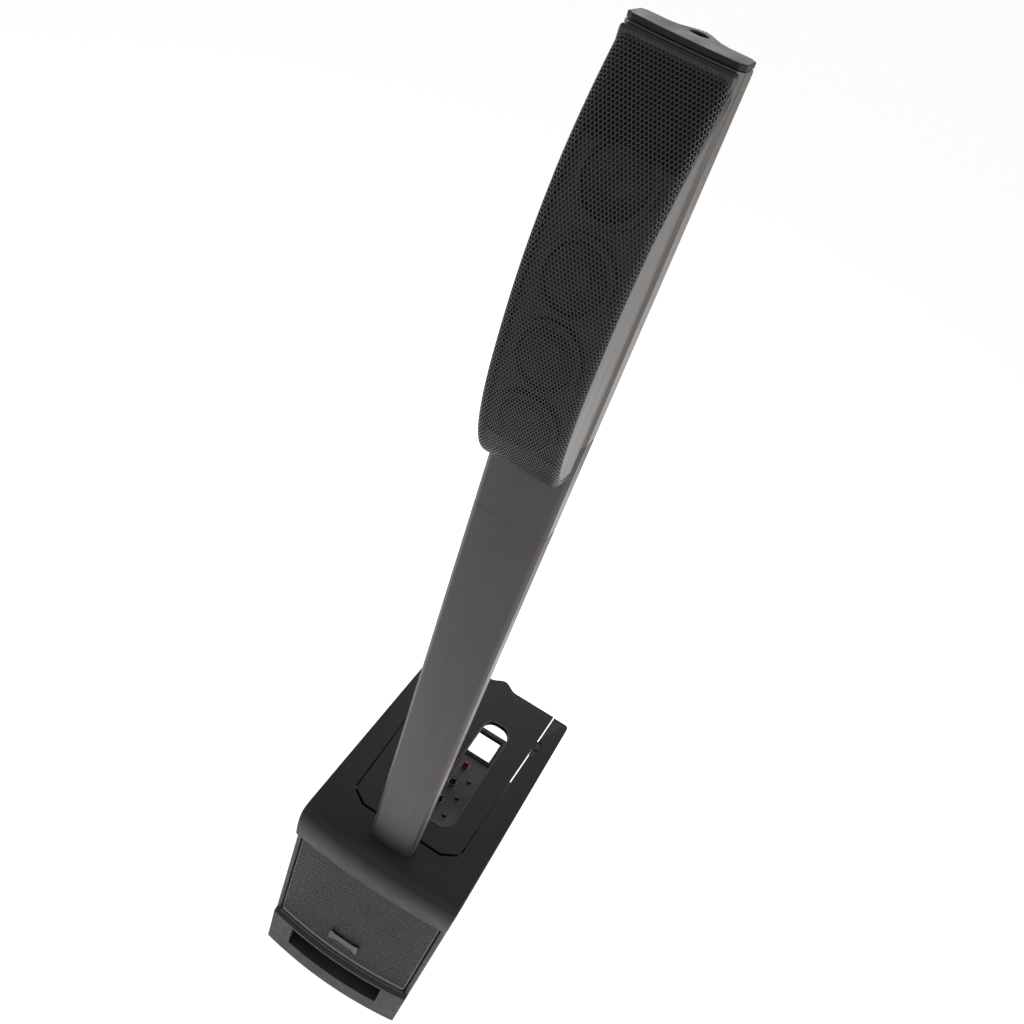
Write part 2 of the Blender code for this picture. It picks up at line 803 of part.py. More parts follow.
def panel_z(y):
    """The height of the mixer panel's upper face."""
    return PANEL_TOP_Z - (y - PANEL_FRONT) * math.tan(PANEL_TILT)


def handle_tongue():
    """The centre cover: a grip between two long slots, on two ribs that stand on the mixer panel."""
    slot_centre = COLUMN_FRONT + SLOT_START + SLOT_LENGTH / 2
    across = (SLOT_HALF - GRIP_HALF) / 2
    slots = []
    for side in (-1, 1):
        middle = (side * (GRIP_HALF + across), slot_centre)
        slots.append(rounded_rectangle(across, SLOT_LENGTH / 2, SLOT_FILLET, middle, steps=6))
    outline = bump_outline(TONGUE_HALF, TONGUE_FRONT, ARM_REAR)
    bm = slab([outline, *slots], BASE_HEIGHT - TONGUE_WALL, BASE_HEIGHT)
    made = part("handle_tongue", bm, charcoal)
    rib_front = max(PANEL_FRONT, TONGUE_FRONT + TONGUE_CHAMFER) + RIB_INSET
    rib_rear = RECESS_FRONT - RIB_END
    overlap = BASE_HEIGHT - TONGUE_WALL / 2
    rib = [
        (rib_front, panel_z(rib_front) + GAP),
        (rib_rear, panel_z(rib_rear) + GAP),
        (rib_rear, overlap),
        (rib_front, overlap),
    ]
    for side in (-1, 1):
        x = side * (tongue_half(rib_front) - RIB_INSET - RIB_WALL / 2)
        join(made, side_slab([rib], x - RIB_WALL / 2, x + RIB_WALL / 2))


def column_socket():
    """The tube under the top shell that holds the column's foot."""
    rings = [tenon_outline(SOCKET_WALL + PLUG_PLAY), tenon_outline(PLUG_PLAY)]
    part("column_socket", slab(rings, SHELL_BOTTOM - TENON_LENGTH, SHELL_BOTTOM - GAP), black)


# Front ----------------------------------------------------------------------


def front_grille():
    """The bass grille: a bowed and raked steel sheet with its side edges folded back."""
    half = HALF - SIDE_WALL - GRILLE_SIDE_CLEAR
    arcs = 10
    folds = 3
    rows = 4
    columns = arcs + 2 * folds

    def place(column, row):
        z = GRILLE_LOW_Z + (GRILLE_TOP_Z - GRILLE_LOW_Z) * row / rows
        amount = FRONT_BOW + (LIP_BOW - FRONT_BOW) * row / rows
        turn = min(1.0, max(0.0, (folds - column) / 2)) + min(1.0, max(0.0, (column - arcs - folds) / 2))
        angle = math.pi / 2 * turn
        side = -1 if column < columns / 2 else 1
        if folds <= column <= arcs + folds:
            x = (half - GRILLE_ROLL) * (2 * (column - folds) / arcs - 1)
            back = 0.0
        else:
            x = side * (half - GRILLE_ROLL * (1 - math.sin(angle)))
            back = GRILLE_ROLL * (1 - math.cos(angle))
        if column in (0, columns):
            back = GRILLE_FLANGE
        return Vector((x, rake_y(z, back) - bow(x, amount), z))

    bm = mapped_grid(columns, rows, place)
    bmesh.ops.recalc_face_normals(bm, faces=bm.faces)
    if sum(face.normal.y for face in bm.faces) > 0:
        bmesh.ops.reverse_faces(bm, faces=bm.faces)
    made = part("front_grille", bm, dark_metal)
    wall = made.modifiers.new("Solidify", "SOLIDIFY")
    wall.thickness = GRILLE_WALL
    wall.offset = -1
    wall.use_even_offset = True


def badge_plate():
    """A blank plate fixed to the middle of the grille's lower part."""
    z = GRILLE_LOW_Z + (GRILLE_TOP_Z - GRILLE_LOW_Z) * BADGE_SHARE
    bm = block(
        (-BADGE_WIDTH / 2, -BADGE_WALL, -BADGE_HEIGHT / 2),
        (BADGE_WIDTH / 2, 0, BADGE_HEIGHT / 2),
    )
    made = part("badge_plate", bm, bare_metal)
    bowed = bow(0, FRONT_BOW + (LIP_BOW - FRONT_BOW) * BADGE_SHARE)
    made.location = (0, rake_y(z, 0) - bowed - BADGE_STAND, z)
    made.rotation_euler = (-RAKE, 0, 0)
    soften(made, 0.001)


# Mixer ----------------------------------------------------------------------


def panel_frame(across, along):
    """A place on the mixer panel: Z out of its face, so far from its upper edge along the slope."""
    down = Vector((0, math.cos(PANEL_TILT), -math.sin(PANEL_TILT)))
    spot = Vector((across, PANEL_FRONT, PANEL_TOP_Z)) + down * along
    return Matrix.Translation(spot) @ Matrix.Rotation(-PANEL_TILT, 4, "X")


def button_places():
    return [(BUTTON_X, BUTTON_ROW + row * BUTTON_PITCH) for row in range(BUTTON_COUNT)]


def socket_places():
    return [(side * SOCKET_X, KNOB_FIRST_ROW + row * SOCKET_PITCH) for side in (-1, 1) for row in (0, 1)]


def mixer_panel():
    """The folded control panel: an upright at each end and a long slope between."""
    wall = PANEL_WALL
    head = BASE_HEIGHT - TONGUE_WALL - 2 * GAP
    outline = [
        (PANEL_FRONT - wall, head),
        (PANEL_FRONT - wall, PANEL_TOP_Z - wall),
        (RECESS_FRONT - wall, PANEL_LOW_Z - wall),
        (RECESS_FRONT - wall, PANEL_LOW_Z - PANEL_LIP),
        (RECESS_FRONT, PANEL_LOW_Z - PANEL_LIP),
        (RECESS_FRONT, PANEL_LOW_Z),
        (PANEL_FRONT, PANEL_TOP_Z),
        (PANEL_FRONT, head),
    ]
    made = part("mixer_panel", side_slab([outline], -INNER_HALF, INNER_HALF), black)
    for place in socket_places():
        hole = rod(SOCKET_RADIUS + GAP, -0.020, 0.020)
        hole.transform(panel_frame(*place))
        cut(made, hole)
    for place in button_places():
        half = BUTTON_SIZE / 2 + BUTTON_PLAY
        hole = block((-half, -half, -0.020), (half, half, 0.020))
        hole.transform(panel_frame(*place))
        cut(made, hole)


def input_socket(name, place):
    """A round locking socket: a flange over the panel and a barrel through it, open at the front."""
    profile = [
        (SOCKET_FLANGE, 0.003),
        (SOCKET_FLANGE, GAP),
        (SOCKET_RADIUS, GAP),
        (SOCKET_RADIUS, -SOCKET_DEPTH),
        (0, -SOCKET_DEPTH),
    ]
    bottom = -SOCKET_DEPTH + 0.004
    mouth = [(0, bottom), (SOCKET_RADIUS - 0.002, bottom), (SOCKET_RADIUS - 0.002, 0.003)]
    made = turned(name, mouth + profile, black, SMALL_STEPS, False)
    made.matrix_world = panel_frame(*place)


def knob(name, place, make_look):
    """A control knob with a skirt, on the panel's face."""
    profile = [
        (0, KNOB_HEIGHT),
        (KNOB_RADIUS * 0.72, KNOB_HEIGHT),
        (KNOB_RADIUS * 0.82, KNOB_HEIGHT - 0.001),
        (KNOB_RADIUS * 0.88, 0.004),
        (KNOB_RADIUS, 0.002),
        (KNOB_RADIUS, KNOB_LIFT),
        (0, KNOB_LIFT),
    ]
    made = turned(name, profile, make_look, SMALL_STEPS, False)
    made.matrix_world = panel_frame(*place)


def button(name, place):
    """A square push button that slides through the panel."""
    half = BUTTON_SIZE / 2
    made = part(name, block((-half, -half, -PANEL_WALL * 2), (half, half, BUTTON_STAND)), warm_grey)
    made.matrix_world = panel_frame(*place)
    soften(made, 0.0008)


def controls():
    for row in range(KNOB_ROWS):
        for column in range(KNOB_COLUMNS):
            across = KNOB_CENTRE + (column - (KNOB_COLUMNS - 1) / 2) * KNOB_PITCH
            along = KNOB_FIRST_ROW + row * KNOB_ROW_PITCH
            red = row == KNOB_ROWS - 1 and column == KNOB_COLUMNS - 1
            make_look = (lambda name: look(name, (0.35, 0.01, 0.015), 0.4)) if red else black
            knob(f"knob_{row + 1}_{column + 1}", (across, along), make_look)
    for index, place in enumerate(button_places()):
        button(f"button_{index + 1}", place)
    for index, place in enumerate(socket_places()):
        input_socket(f"input_socket_{index + 1}", place)


def rear_handle():
    """A loop of moulded bar over the storage recess."""
    start = RECESS_FRONT + GAP
    end = start + LOOP_REACH
    top = PANEL_LOW_Z - GAP
    bm = block((-LOOP_HALF, start, top - LOOP_WALL), (LOOP_HALF, end, top))
    made = part("rear_handle", bm, charcoal)
    inner = LOOP_HALF - LOOP_BAR
    low = (-inner, start + LOOP_BAR, top - 2 * LOOP_WALL)
    high = (inner, end - LOOP_BAR, top + LOOP_WALL)
    cut(made, block(low, high))
    soften(made, 0.002)


# Column ---------------------------------------------------------------------


def column_outline():
    """The column's cross-section: a faintly crowned front, flat sides and a rounded spine at the back."""
    half = COLUMN_HALF - COLUMN_CORNER
    ring = []
    for step in range(5):
        x = half * (step / 2 - 1)
        ring.append((x, COLUMN_FRONT + COLUMN_CROWN * (x / half) ** 2))
    rear = COLUMN_FRONT + COLUMN_SIDE
    ring += [
        (COLUMN_HALF, COLUMN_FRONT + COLUMN_CROWN + COLUMN_CORNER),
        (COLUMN_HALF, rear - COLUMN_CORNER),
        (COLUMN_HALF - COLUMN_CORNER, rear),
    ]
    steps = 8
    for step in range(steps + 1):
        x = SPINE_HALF * (1 - 2 * step / steps)
        ring.append((x, rear + SPINE_DEPTH * 0.5 * (1 + math.cos(math.pi * x / SPINE_HALF))))
    ring += [
        (-COLUMN_HALF + COLUMN_CORNER, rear),
        (-COLUMN_HALF, rear - COLUMN_CORNER),
        (-COLUMN_HALF, COLUMN_FRONT + COLUMN_CROWN + COLUMN_CORNER),
    ]
    return ring


def column_tube(name, low, high):
    outline = column_outline()
    part(name, slab([outline, inset(outline, COLUMN_WALL)], low + GAP, high), warm_grey)


def column_plug(name, low):
    """The block in the foot of a column section, with the tenon that stands in the piece below."""
    outline = inset(column_outline(), COLUMN_WALL + GAP)
    made = part(name, slab([outline], low + GAP, low + PLUG_HEIGHT), black)
    join(made, slab([tenon_outline(0)], low - TENON_LENGTH + PLUG_PLAY, low + PLUG_HEIGHT / 2))


def column_top(name, high):
    """The block in the head of a column section, with the mortise for the next tenon."""
    rings = [inset(column_outline(), COLUMN_WALL + GAP), tenon_outline(PLUG_PLAY)]
    part(name, slab(rings, high - TENON_LENGTH - PLUG_PLAY, high - GAP), black)


def spacers():
    for name, low in (("lower_spacer", SPACER_1_Z), ("upper_spacer", SPACER_2_Z)):
        column_tube(name, low, low + SPACER_LENGTH)
        column_plug(f"{name}_plug", low)
        column_top(f"{name}_socket", low + SPACER_LENGTH)


# Array ----------------------------------------------------------------------


def array_profile(back=0.0, steps=10):
    """The array's front seen from the side, from top to tail: places (y, z) and outward directions.

    One long curve swells from the head to the belly, and a tighter arc curls under to the tail.
    """
    top_z = TOP_Z - ARRAY_TOP_DROP
    belly_z = TOP_Z - ARRAY_BELLY_DROP
    tail = Vector((COLUMN_FRONT - ARRAY_TAIL_REACH, TOP_Z - ARRAY_TAIL_DROP))
    points = []
    for step in range(steps + 1):
        share = (step / steps) ** 1.5
        swell = (ARRAY_REACH - ARRAY_TOP_REACH) * (1 - (1 - share) ** ARRAY_HEAD_ROUND)
        points.append(Vector((COLUMN_FRONT - ARRAY_TOP_REACH - swell, top_z + (belly_z - top_z) * share)))
    turns = 8
    curl = belly_z - tail.y
    for step in range(1, turns + 1):
        turn = math.pi / 2 * step / turns
        reach = (ARRAY_REACH - ARRAY_TAIL_REACH) * math.cos(turn) ** 0.75 + ARRAY_TAIL_REACH
        points.append(Vector((COLUMN_FRONT - reach, belly_z - curl * math.sin(turn))))
    result = []
    for index, point in enumerate(points):
        before = points[max(0, index - 1)]
        after = points[min(len(points) - 1, index + 1)]
        run = (after - before).normalized()
        outward = Vector((run.y, -run.x))
        if index == len(points) - 1:
            outward = Vector((0, -1))
        result.append((point - outward * back, outward))
    return result


def array_block(back, half, rear, foot_z):
    """A solid between the array's front profile, set back, and an upright plane behind it."""
    front = [tuple(point) for point, _ in array_profile(back)]
    front = [(y, min(z, CAP_Z - GAP)) for y, z in front]
    face = COLUMN_FRONT - GAP
    ring = [(rear, front[0][1])] + front + [(face, front[-1][1]), (face, foot_z), (rear, foot_z)]
    return side_slab([ring], -half, half)


def array_housing():
    """The array's rear shell: the column's section with cheeks that follow the curved front."""
    foot_z = ARRAY_Z + NECK_LENGTH + GAP
    made = part("array_housing", slab([column_outline()], foot_z, CAP_Z - GAP), warm_grey)
    depth = ARRAY_ROLL + ARRAY_RIM
    join(made, array_block(depth, CHEEK_HALF, COLUMN_FRONT + COLUMN_SIDE / 3, foot_z))
    hollow_rear = COLUMN_FRONT + COLUMN_SIDE - CHEEK_WALL
    half = CHEEK_HALF - CHEEK_WALL
    head = TOP_Z - ARRAY_HEAD_DROP + CHEEK_WALL
    low = foot_z + CHEEK_WALL
    cut(made, block((-half, COLUMN_FRONT - ARRAY_REACH * 2, low), (half, hollow_rear, head)))
    cut(made, cap_hole())


def array_baffle():
    """The curved panel that carries the drivers, inside the housing's mouth."""
    profile = array_profile(ARRAY_BAFFLE_SETBACK)
    behind = array_profile(ARRAY_BAFFLE_SETBACK + ARRAY_BAFFLE_WALL)
    low = ARRAY_Z + NECK_LENGTH + CHEEK_WALL + 4 * GAP
    head = TOP_Z - ARRAY_HEAD_DROP + CHEEK_WALL - GAP
    pairs = [(front, rear) for (front, _), (rear, _) in zip(profile, behind)]
    pairs = [pair for pair in pairs if all(low < point.y < head for point in pair)]
    ring = [tuple(rear) for _, rear in pairs] + [tuple(front) for front, _ in reversed(pairs)]
    half = CHEEK_HALF - CHEEK_WALL - GAP
    made = part("array_baffle", side_slab([ring], -half, half), black)
    for place in driver_places():
        hole = rod(ARRAY_DRIVER_RADIUS - 0.004, -0.030, 0.030, SMALL_STEPS)
        hole.transform(place)
        cut(made, hole)


def driver_places():
    """A frame for each array driver: Z outwards, on the baffle's front face, evenly spaced down the curve."""
    points = array_profile(ARRAY_BAFFLE_SETBACK)
    top = TOP_Z - ARRAY_HEAD_DROP
    low = ARRAY_Z + NECK_LENGTH + CHEEK_WALL
    pitch = (top - low) / ARRAY_DRIVERS
    places = []
    for index in range(ARRAY_DRIVERS):
        z = top - pitch * (index + 0.5)
        for (upper, out_a), (lower, out_b) in zip(points, points[1:]):
            if lower.y <= z <= upper.y:
                share = (upper.y - z) / (upper.y - lower.y)
                spot = upper.lerp(lower, share)
                out = out_a.lerp(out_b, share).normalized()
        tilt = math.atan2(out.y, -out.x)
        place = Matrix.Translation((0, spot.x, spot.y)) @ Matrix.Rotation(math.pi / 2 - tilt, 4, "X")
        places.append(place)
    return places


def array_drivers():
    """Small full-range drivers: flange, cone, basket and magnet."""
    radius = ARRAY_DRIVER_RADIUS
    depth = ARRAY_DRIVER_DEPTH
    seat = 0.002
    profile = [
        (0, seat - 0.006),
        (radius * 0.28, seat - 0.009),
        (radius * 0.76, seat - 0.001),
        (radius * 0.84, seat + 0.003),
        (radius * 0.92, seat + 0.002),
        (radius, seat + 0.002),
        (radius, seat),
        (radius - 0.005, seat),
        (radius - 0.006, -0.006),
        (radius * 0.55, 0.010 - depth),
        (radius * 0.55, -depth),
        (0, -depth),
    ]
    for index, place in enumerate(driver_places()):
        made = turned(f"array_driver_{index + 1}", profile, dark_metal, ROUND_STEPS // 2 + 4, False)
        made.matrix_world = place


def array_grille():
    """The array's perforated cover: it follows the curved front and rolls back along both sides."""
    profile = array_profile()
    rows = len(profile) - 1
    folds = 4
    flats = 2
    columns = flats + 2 * folds
    half = CHEEK_HALF + 0.0005

    def place(column, row):
        point, outward = profile[row]
        side = -1 if column < columns / 2 else 1
        from_edge = min(column, columns - column)
        if from_edge >= folds:
            x = (half - ARRAY_ROLL) * (2 * (column - folds) / flats - 1)
            back = 0.0
        else:
            turn = math.pi / 2 * (1 - from_edge / folds)
            x = side * (half - ARRAY_ROLL * (1 - math.sin(turn)))
            back = ARRAY_ROLL * (1 - math.cos(turn))
        spot = point - outward * back
        return Vector((x, spot.x, spot.y))

    bm = mapped_grid(columns, rows, place)
    bmesh.ops.recalc_face_normals(bm, faces=bm.faces)
    if sum(face.normal.y for face in bm.faces) > 0:
        bmesh.ops.reverse_faces(bm, faces=bm.faces)
    made = part("array_grille", bm, dark_metal)
    wall = made.modifiers.new("Solidify", "SOLIDIFY")
    wall.thickness = ARRAY_GRILLE_WALL
    wall.offset = -1


def cap_hole():
    """The round hole that runs down through the cap's spine into the housing."""
    hole = rod(CAP_HOLE, CAP_Z - CAP_HOLE_DEPTH, TOP_Z + CAP_HEIGHT)
    bmesh.ops.translate(hole, vec=(0, COLUMN_FRONT + COLUMN_SIDE, 0), verts=hole.verts)
    return hole


def array_cap():
    """The flat cap that closes the column's top."""
    made = part("array_cap", slab([column_outline()], CAP_Z, TOP_Z), charcoal)
    cut(made, cap_hole())


def array():
    column_tube("array_neck", ARRAY_Z, ARRAY_Z + NECK_LENGTH)
    column_plug("array_plug", ARRAY_Z)
    array_housing()
    array_baffle()
    array_drivers()
    array_grille()
    array_cap()


def cabinet():
    plinth()
    port_duct()
    cabinet_floor()
    side_panel("side_panel_left", -1)
    side_panel("side_panel_right", 1)
    foot_rows = (("front", FACE + PLINTH_DEPTH + FOOT_LENGTH), ("rear", ARM_REAR - FOOT_LENGTH))
    for row, y in foot_rows:
        foot(f"foot_{row}_left", -1, y)
        foot(f"foot_{row}_right", 1, y)
    front_baffle()
    bass_driver()
    rear_wall()
    power_inlet()
    power_switch()
    heatsink()
    amplifier_board()
    top_shell()
    handle_tongue()
    column_socket()
    front_grille()
    badge_plate()
    mixer_panel()
    controls()
    rear_handle()


cabinet()
spacers()
array()
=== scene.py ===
"""The looks of a portable column loudspeaker: bass cabinet, two spacers and a curved array on top.

Metres, +Z up, the front faces -Y. Each section below is one piece or one group of like pieces, from the
floor up, as the loudspeaker is put together.
"""

import json
import math

import bmesh
import bpy
from mathutils import Matrix, Vector


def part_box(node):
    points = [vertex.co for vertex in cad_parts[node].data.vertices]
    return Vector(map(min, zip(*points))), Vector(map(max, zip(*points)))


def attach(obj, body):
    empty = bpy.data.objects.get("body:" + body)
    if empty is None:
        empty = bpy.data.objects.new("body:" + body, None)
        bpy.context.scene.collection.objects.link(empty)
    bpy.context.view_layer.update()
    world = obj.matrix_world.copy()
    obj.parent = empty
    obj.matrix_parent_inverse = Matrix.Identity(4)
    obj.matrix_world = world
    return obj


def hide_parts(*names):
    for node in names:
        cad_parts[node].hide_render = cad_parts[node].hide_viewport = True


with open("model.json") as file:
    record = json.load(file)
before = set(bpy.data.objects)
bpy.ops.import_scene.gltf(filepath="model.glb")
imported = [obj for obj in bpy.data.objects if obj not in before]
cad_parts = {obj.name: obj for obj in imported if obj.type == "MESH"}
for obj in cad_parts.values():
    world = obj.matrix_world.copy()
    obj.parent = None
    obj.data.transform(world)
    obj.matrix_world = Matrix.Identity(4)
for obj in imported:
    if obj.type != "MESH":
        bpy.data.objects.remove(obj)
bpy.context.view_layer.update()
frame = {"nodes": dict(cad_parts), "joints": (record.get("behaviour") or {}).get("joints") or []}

# The studio: the camera stands a little to the right, higher than the top cap, and looks down the
# column. The floor is a pale sheet, a large soft lamp hangs on each side and weaker ones in front and
# behind.

camera = bpy.data.objects.new("camera", bpy.data.cameras.new("camera"))
camera.data.lens = 26.77
camera.data.shift_y = 0.1055
camera.location = (0.1748, -0.8615, 2.1147)
camera.rotation_euler = [math.radians(turn) for turn in (40.4875, -15.5185, 28.0504)]
bpy.context.scene.collection.objects.link(camera)
bpy.context.scene.camera = camera

world = bpy.data.worlds.new("studio")
world.use_nodes = True
world.node_tree.nodes["Background"].inputs["Color"].default_value = (1.0, 1.0, 1.0, 1.0)
world.node_tree.nodes["Background"].inputs["Strength"].default_value = 0.36
bpy.context.scene.world = world
bpy.context.scene.view_settings.view_transform = "Standard"

floor_look = bpy.data.materials.new("pale_floor")
floor_look.use_nodes = True
floor_look.node_tree.nodes["Principled BSDF"].inputs["Base Color"].default_value = (0.93, 0.93, 0.93, 1.0)
floor_look.node_tree.nodes["Principled BSDF"].inputs["Roughness"].default_value = 0.9
floor_look.node_tree.nodes["Principled BSDF"].inputs["Specular IOR Level"].default_value = 0.1
floor_look.node_tree.nodes["Principled BSDF"].inputs["Emission Color"].default_value = (1.0, 1.0, 1.0, 1.0)
floor_look.node_tree.nodes["Principled BSDF"].inputs["Emission Strength"].default_value = 0.64
floor_mesh = bmesh.new()
bmesh.ops.create_circle(floor_mesh, cap_ends=True, segments=96, radius=90.0)
floor_data = bpy.data.meshes.new("floor")
floor_mesh.to_mesh(floor_data)
floor_mesh.free()
floor_data.materials.append(floor_look)
floor = bpy.data.objects.new("floor", floor_data)
bpy.context.scene.collection.objects.link(floor)


def soft_lamp(name, place, aim, size, power):
    """A square lamp at a place, turned to shine on a point."""
    lamp = bpy.data.lights.new(name, "AREA")
    lamp.size = size
    lamp.energy = power
    made = bpy.data.objects.new(name, lamp)
    made.location = place
    made.rotation_euler = (Vector(aim) - Vector(place)).to_track_quat("-Z", "Y").to_euler()
    bpy.context.scene.collection.objects.link(made)


soft_lamp("right_lamp", (2.8, 0.2, 2.4), (0, 0, 1.1), 2.4, 60)
soft_lamp("left_lamp", (-2.4, -0.9, 2.4), (0, 0, 1.1), 1.8, 22)
soft_lamp("front_lamp", (0.4, -3.0, 3.2), (0, 0, 1.2), 2.0, 16)
soft_lamp("rear_lamp", (-0.6, 2.8, 2.6), (0, 0, 1.0), 1.8, 26)

# Feet: four black rubber pads pressed under the side walls. Rubber is matt, a little dusty where it
# has rubbed on floors, and has a faint pebbled skin.


def coordinates(nodes, links, scale, stretch=(1.0, 1.0, 1.0)):
    """A noise texture over the piece's own coordinates, so many features to the metre."""
    place = nodes.new("ShaderNodeTexCoord")
    squeeze = nodes.new("ShaderNodeMapping")
    squeeze.inputs["Scale"].default_value = stretch
    noise = nodes.new("ShaderNodeTexNoise")
    noise.inputs["Scale"].default_value = scale
    links.new(place.outputs["Object"], squeeze.inputs["Vector"])
    links.new(squeeze.outputs["Vector"], noise.inputs["Vector"])
    return noise


def finish(
    name, colour, roughness, metallic=0.0, drift=0.12, grain=900.0, depth=0.00003, shine=0.5, stretch=(1.0, 1.0, 1.0)
):
    """A material whose colour and gloss drift slowly over the piece, with a fine grain on its skin.

    The stretch draws the rub marks and the grain out along one axis, as on brushed or extruded metal.
    """
    look = bpy.data.materials.new(name)
    look.use_nodes = True
    nodes, links = look.node_tree.nodes, look.node_tree.links
    shader = nodes["Principled BSDF"]
    shader.inputs["Metallic"].default_value = metallic
    shader.inputs["Specular IOR Level"].default_value = shine
    slow = coordinates(nodes, links, 9.0)
    slow.inputs["Detail"].default_value = 6.0
    tint = nodes.new("ShaderNodeValToRGB")
    tint.color_ramp.elements[0].position = 0.35
    tint.color_ramp.elements[1].position = 0.65
    tint.color_ramp.elements[0].color = (*[part * (1 - drift) for part in colour], 1.0)
    tint.color_ramp.elements[1].color = (*[part * (1 + drift) for part in colour], 1.0)
    links.new(slow.outputs["Fac"], tint.inputs["Fac"])
    links.new(tint.outputs["Color"], shader.inputs["Base Color"])
    rub = coordinates(nodes, links, 38.0, stretch)
    rub.inputs["Detail"].default_value = 8.0
    gloss = nodes.new("ShaderNodeMapRange")
    gloss.inputs["From Min"].default_value = 0.3
    gloss.inputs["From Max"].default_value = 0.7
    gloss.inputs["To Min"].default_value = roughness * 0.88
    gloss.inputs["To Max"].default_value = min(1.0, roughness * 1.14)
    links.new(rub.outputs["Fac"], gloss.inputs["Value"])
    links.new(gloss.outputs["Result"], shader.inputs["Roughness"])
    skin = coordinates(nodes, links, grain, stretch)
    skin.inputs["Detail"].default_value = 2.0
    bump = nodes.new("ShaderNodeBump")
    bump.inputs["Strength"].default_value = 0.6
    bump.inputs["Distance"].default_value = depth
    links.new(skin.outputs["Fac"], bump.inputs["Height"])
    links.new(bump.outputs["Normal"], shader.inputs["Normal"])
    return look


def piece(name, shape, body, look, wall=0.0, ease=0.0, rounds=3, angle=30):
    """Makes a piece from its mesh: a sheet takes its wall, and sharp edges are eased."""
    mesh = bpy.data.meshes.new(name)
    shape.to_mesh(mesh)
    shape.free()
    mesh.materials.append(look)
    mesh.shade_smooth()
    mesh.set_sharp_from_angle(angle=math.radians(angle))
    made = bpy.data.objects.new(name, mesh)
    bpy.context.scene.collection.objects.link(made)
    if wall:
        sheet = made.modifiers.new("Wall", "SOLIDIFY")
        sheet.thickness = wall
        sheet.offset = -1
    if ease:
        edge = made.modifiers.new("Eased edges", "BEVEL")
        edge.width = ease
        edge.segments = rounds
        edge.limit_method = "ANGLE"
        edge.angle_limit = math.radians(angle)
        edge.harden_normals = True
    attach(made, body)
    return made


def refined(node, body, look, ease, rounds=3, angle=30, reshape=None):
    """A frame part as the real piece: its loose triangles merged into whole faces, its edges eased."""
    shape = bmesh.new()
    shape.from_mesh(frame["nodes"][node].data)
    bmesh.ops.remove_doubles(shape, verts=shape.verts, dist=1e-5)
    bmesh.ops.dissolve_limit(shape, angle_limit=math.radians(0.6), verts=shape.verts, edges=shape.edges)
    if reshape:
        reshape(shape)
    made = piece(f"{node}_piece", shape, body, look, ease=ease, rounds=rounds, angle=angle)
    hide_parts(node)
    return made


def paint(node, look):
    """A frame part keeps its shape and takes a finish."""
    thing = frame["nodes"][node]
    thing.data.materials.clear()
    thing.data.materials.append(look)
    return thing


rubber = finish("rubber", (0.016, 0.016, 0.016), 0.85, drift=0.3, grain=1400.0, depth=0.00006)
for end in ("front", "rear"):
    for side in ("left", "right"):
        refined(f"foot_{end}_{side}", "base", rubber, 0.0006)

# Plinth: the injection-moulded front foot of the cabinet, with a sloped ledge and the port's mouth. It
# is satin charcoal with a fine spark texture, and a soft black strip seals it to the grille above.

charcoal = finish(
    "charcoal_moulding", (0.0145, 0.0145, 0.0155), 0.5, drift=0.07, grain=1500.0, depth=0.00006, shine=0.3
)
refined("plinth", "base", charcoal, 0.0016, rounds=3)

front_low, front_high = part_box("plinth")
half_width = front_high.x
front_face = front_low.y + 0.016
front_bow = 0.015
lip_bow = 0.010
# Black for the seals and gaskets, also used as painted shade on the catches in the shell's pockets.
seal_and_painted_shade_black = finish("seal_and_painted_shade_black", (0.006, 0.006, 0.0065), 0.42, grain=700.0)


def bow(x, amount):
    """How far the bowed front stands forward at x."""
    return amount * (1 - (x / half_width) ** 2)


def block(low, high):
    """A box between two corners."""
    shape = bmesh.new()
    bmesh.ops.create_cube(shape, size=1.0)
    bmesh.ops.scale(shape, vec=Vector(high) - Vector(low), verts=shape.verts)
    bmesh.ops.translate(shape, vec=(Vector(high) + Vector(low)) / 2, verts=shape.verts)
    return shape


def bowed_bar(low, high, amount, slices=24):
    """A bar across the cabinet that follows the front's bow."""
    shape = block(low, high)
    for cut in range(1, slices):
        middle = (low[0] + (high[0] - low[0]) * cut / slices, 0, 0)
        whole = shape.verts[:] + shape.edges[:] + shape.faces[:]
        bmesh.ops.bisect_plane(shape, geom=whole, plane_co=middle, plane_no=(1, 0, 0))
    for vert in shape.verts:
        vert.co.y -= bow(vert.co.x, amount)
    return shape


grille_low, grille_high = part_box("front_grille")
seal_front = front_face + front_bow + 0.0085
seal = bowed_bar(
    (grille_low.x, seal_front, front_high.z - 0.0006),
    (grille_high.x, seal_front + 0.012, grille_low.z + 0.0035),
    front_bow,
)
piece("grille_seal", seal, "base", seal_and_painted_shade_black, ease=0.0022, rounds=4)

# Port: a flat black duct behind the slot in the plinth, moulded with a dull, slightly blue inside. A thin
# lip closes the joint along its lower edge.

port_black = finish("port_moulding", (0.009, 0.0095, 0.0115), 0.48, drift=0.2)
refined("port_duct", "base", port_black, 0.0006)
port_half = 0.1325
port_lip_low = 0.0568
port_lip_high = 0.0599
lip = bowed_bar(
    (-port_half, front_face + 0.008, port_lip_low),
    (port_half, front_face + 0.022, port_lip_high),
    front_bow,
)
piece("port_lip", lip, "base", port_black, ease=0.0006, rounds=2)

# Inside of the cabinet: painted board for the floor and the baffle, a pressed-steel bass driver with a
# paper cone, and a green circuit board on a finned aluminium heatsink.

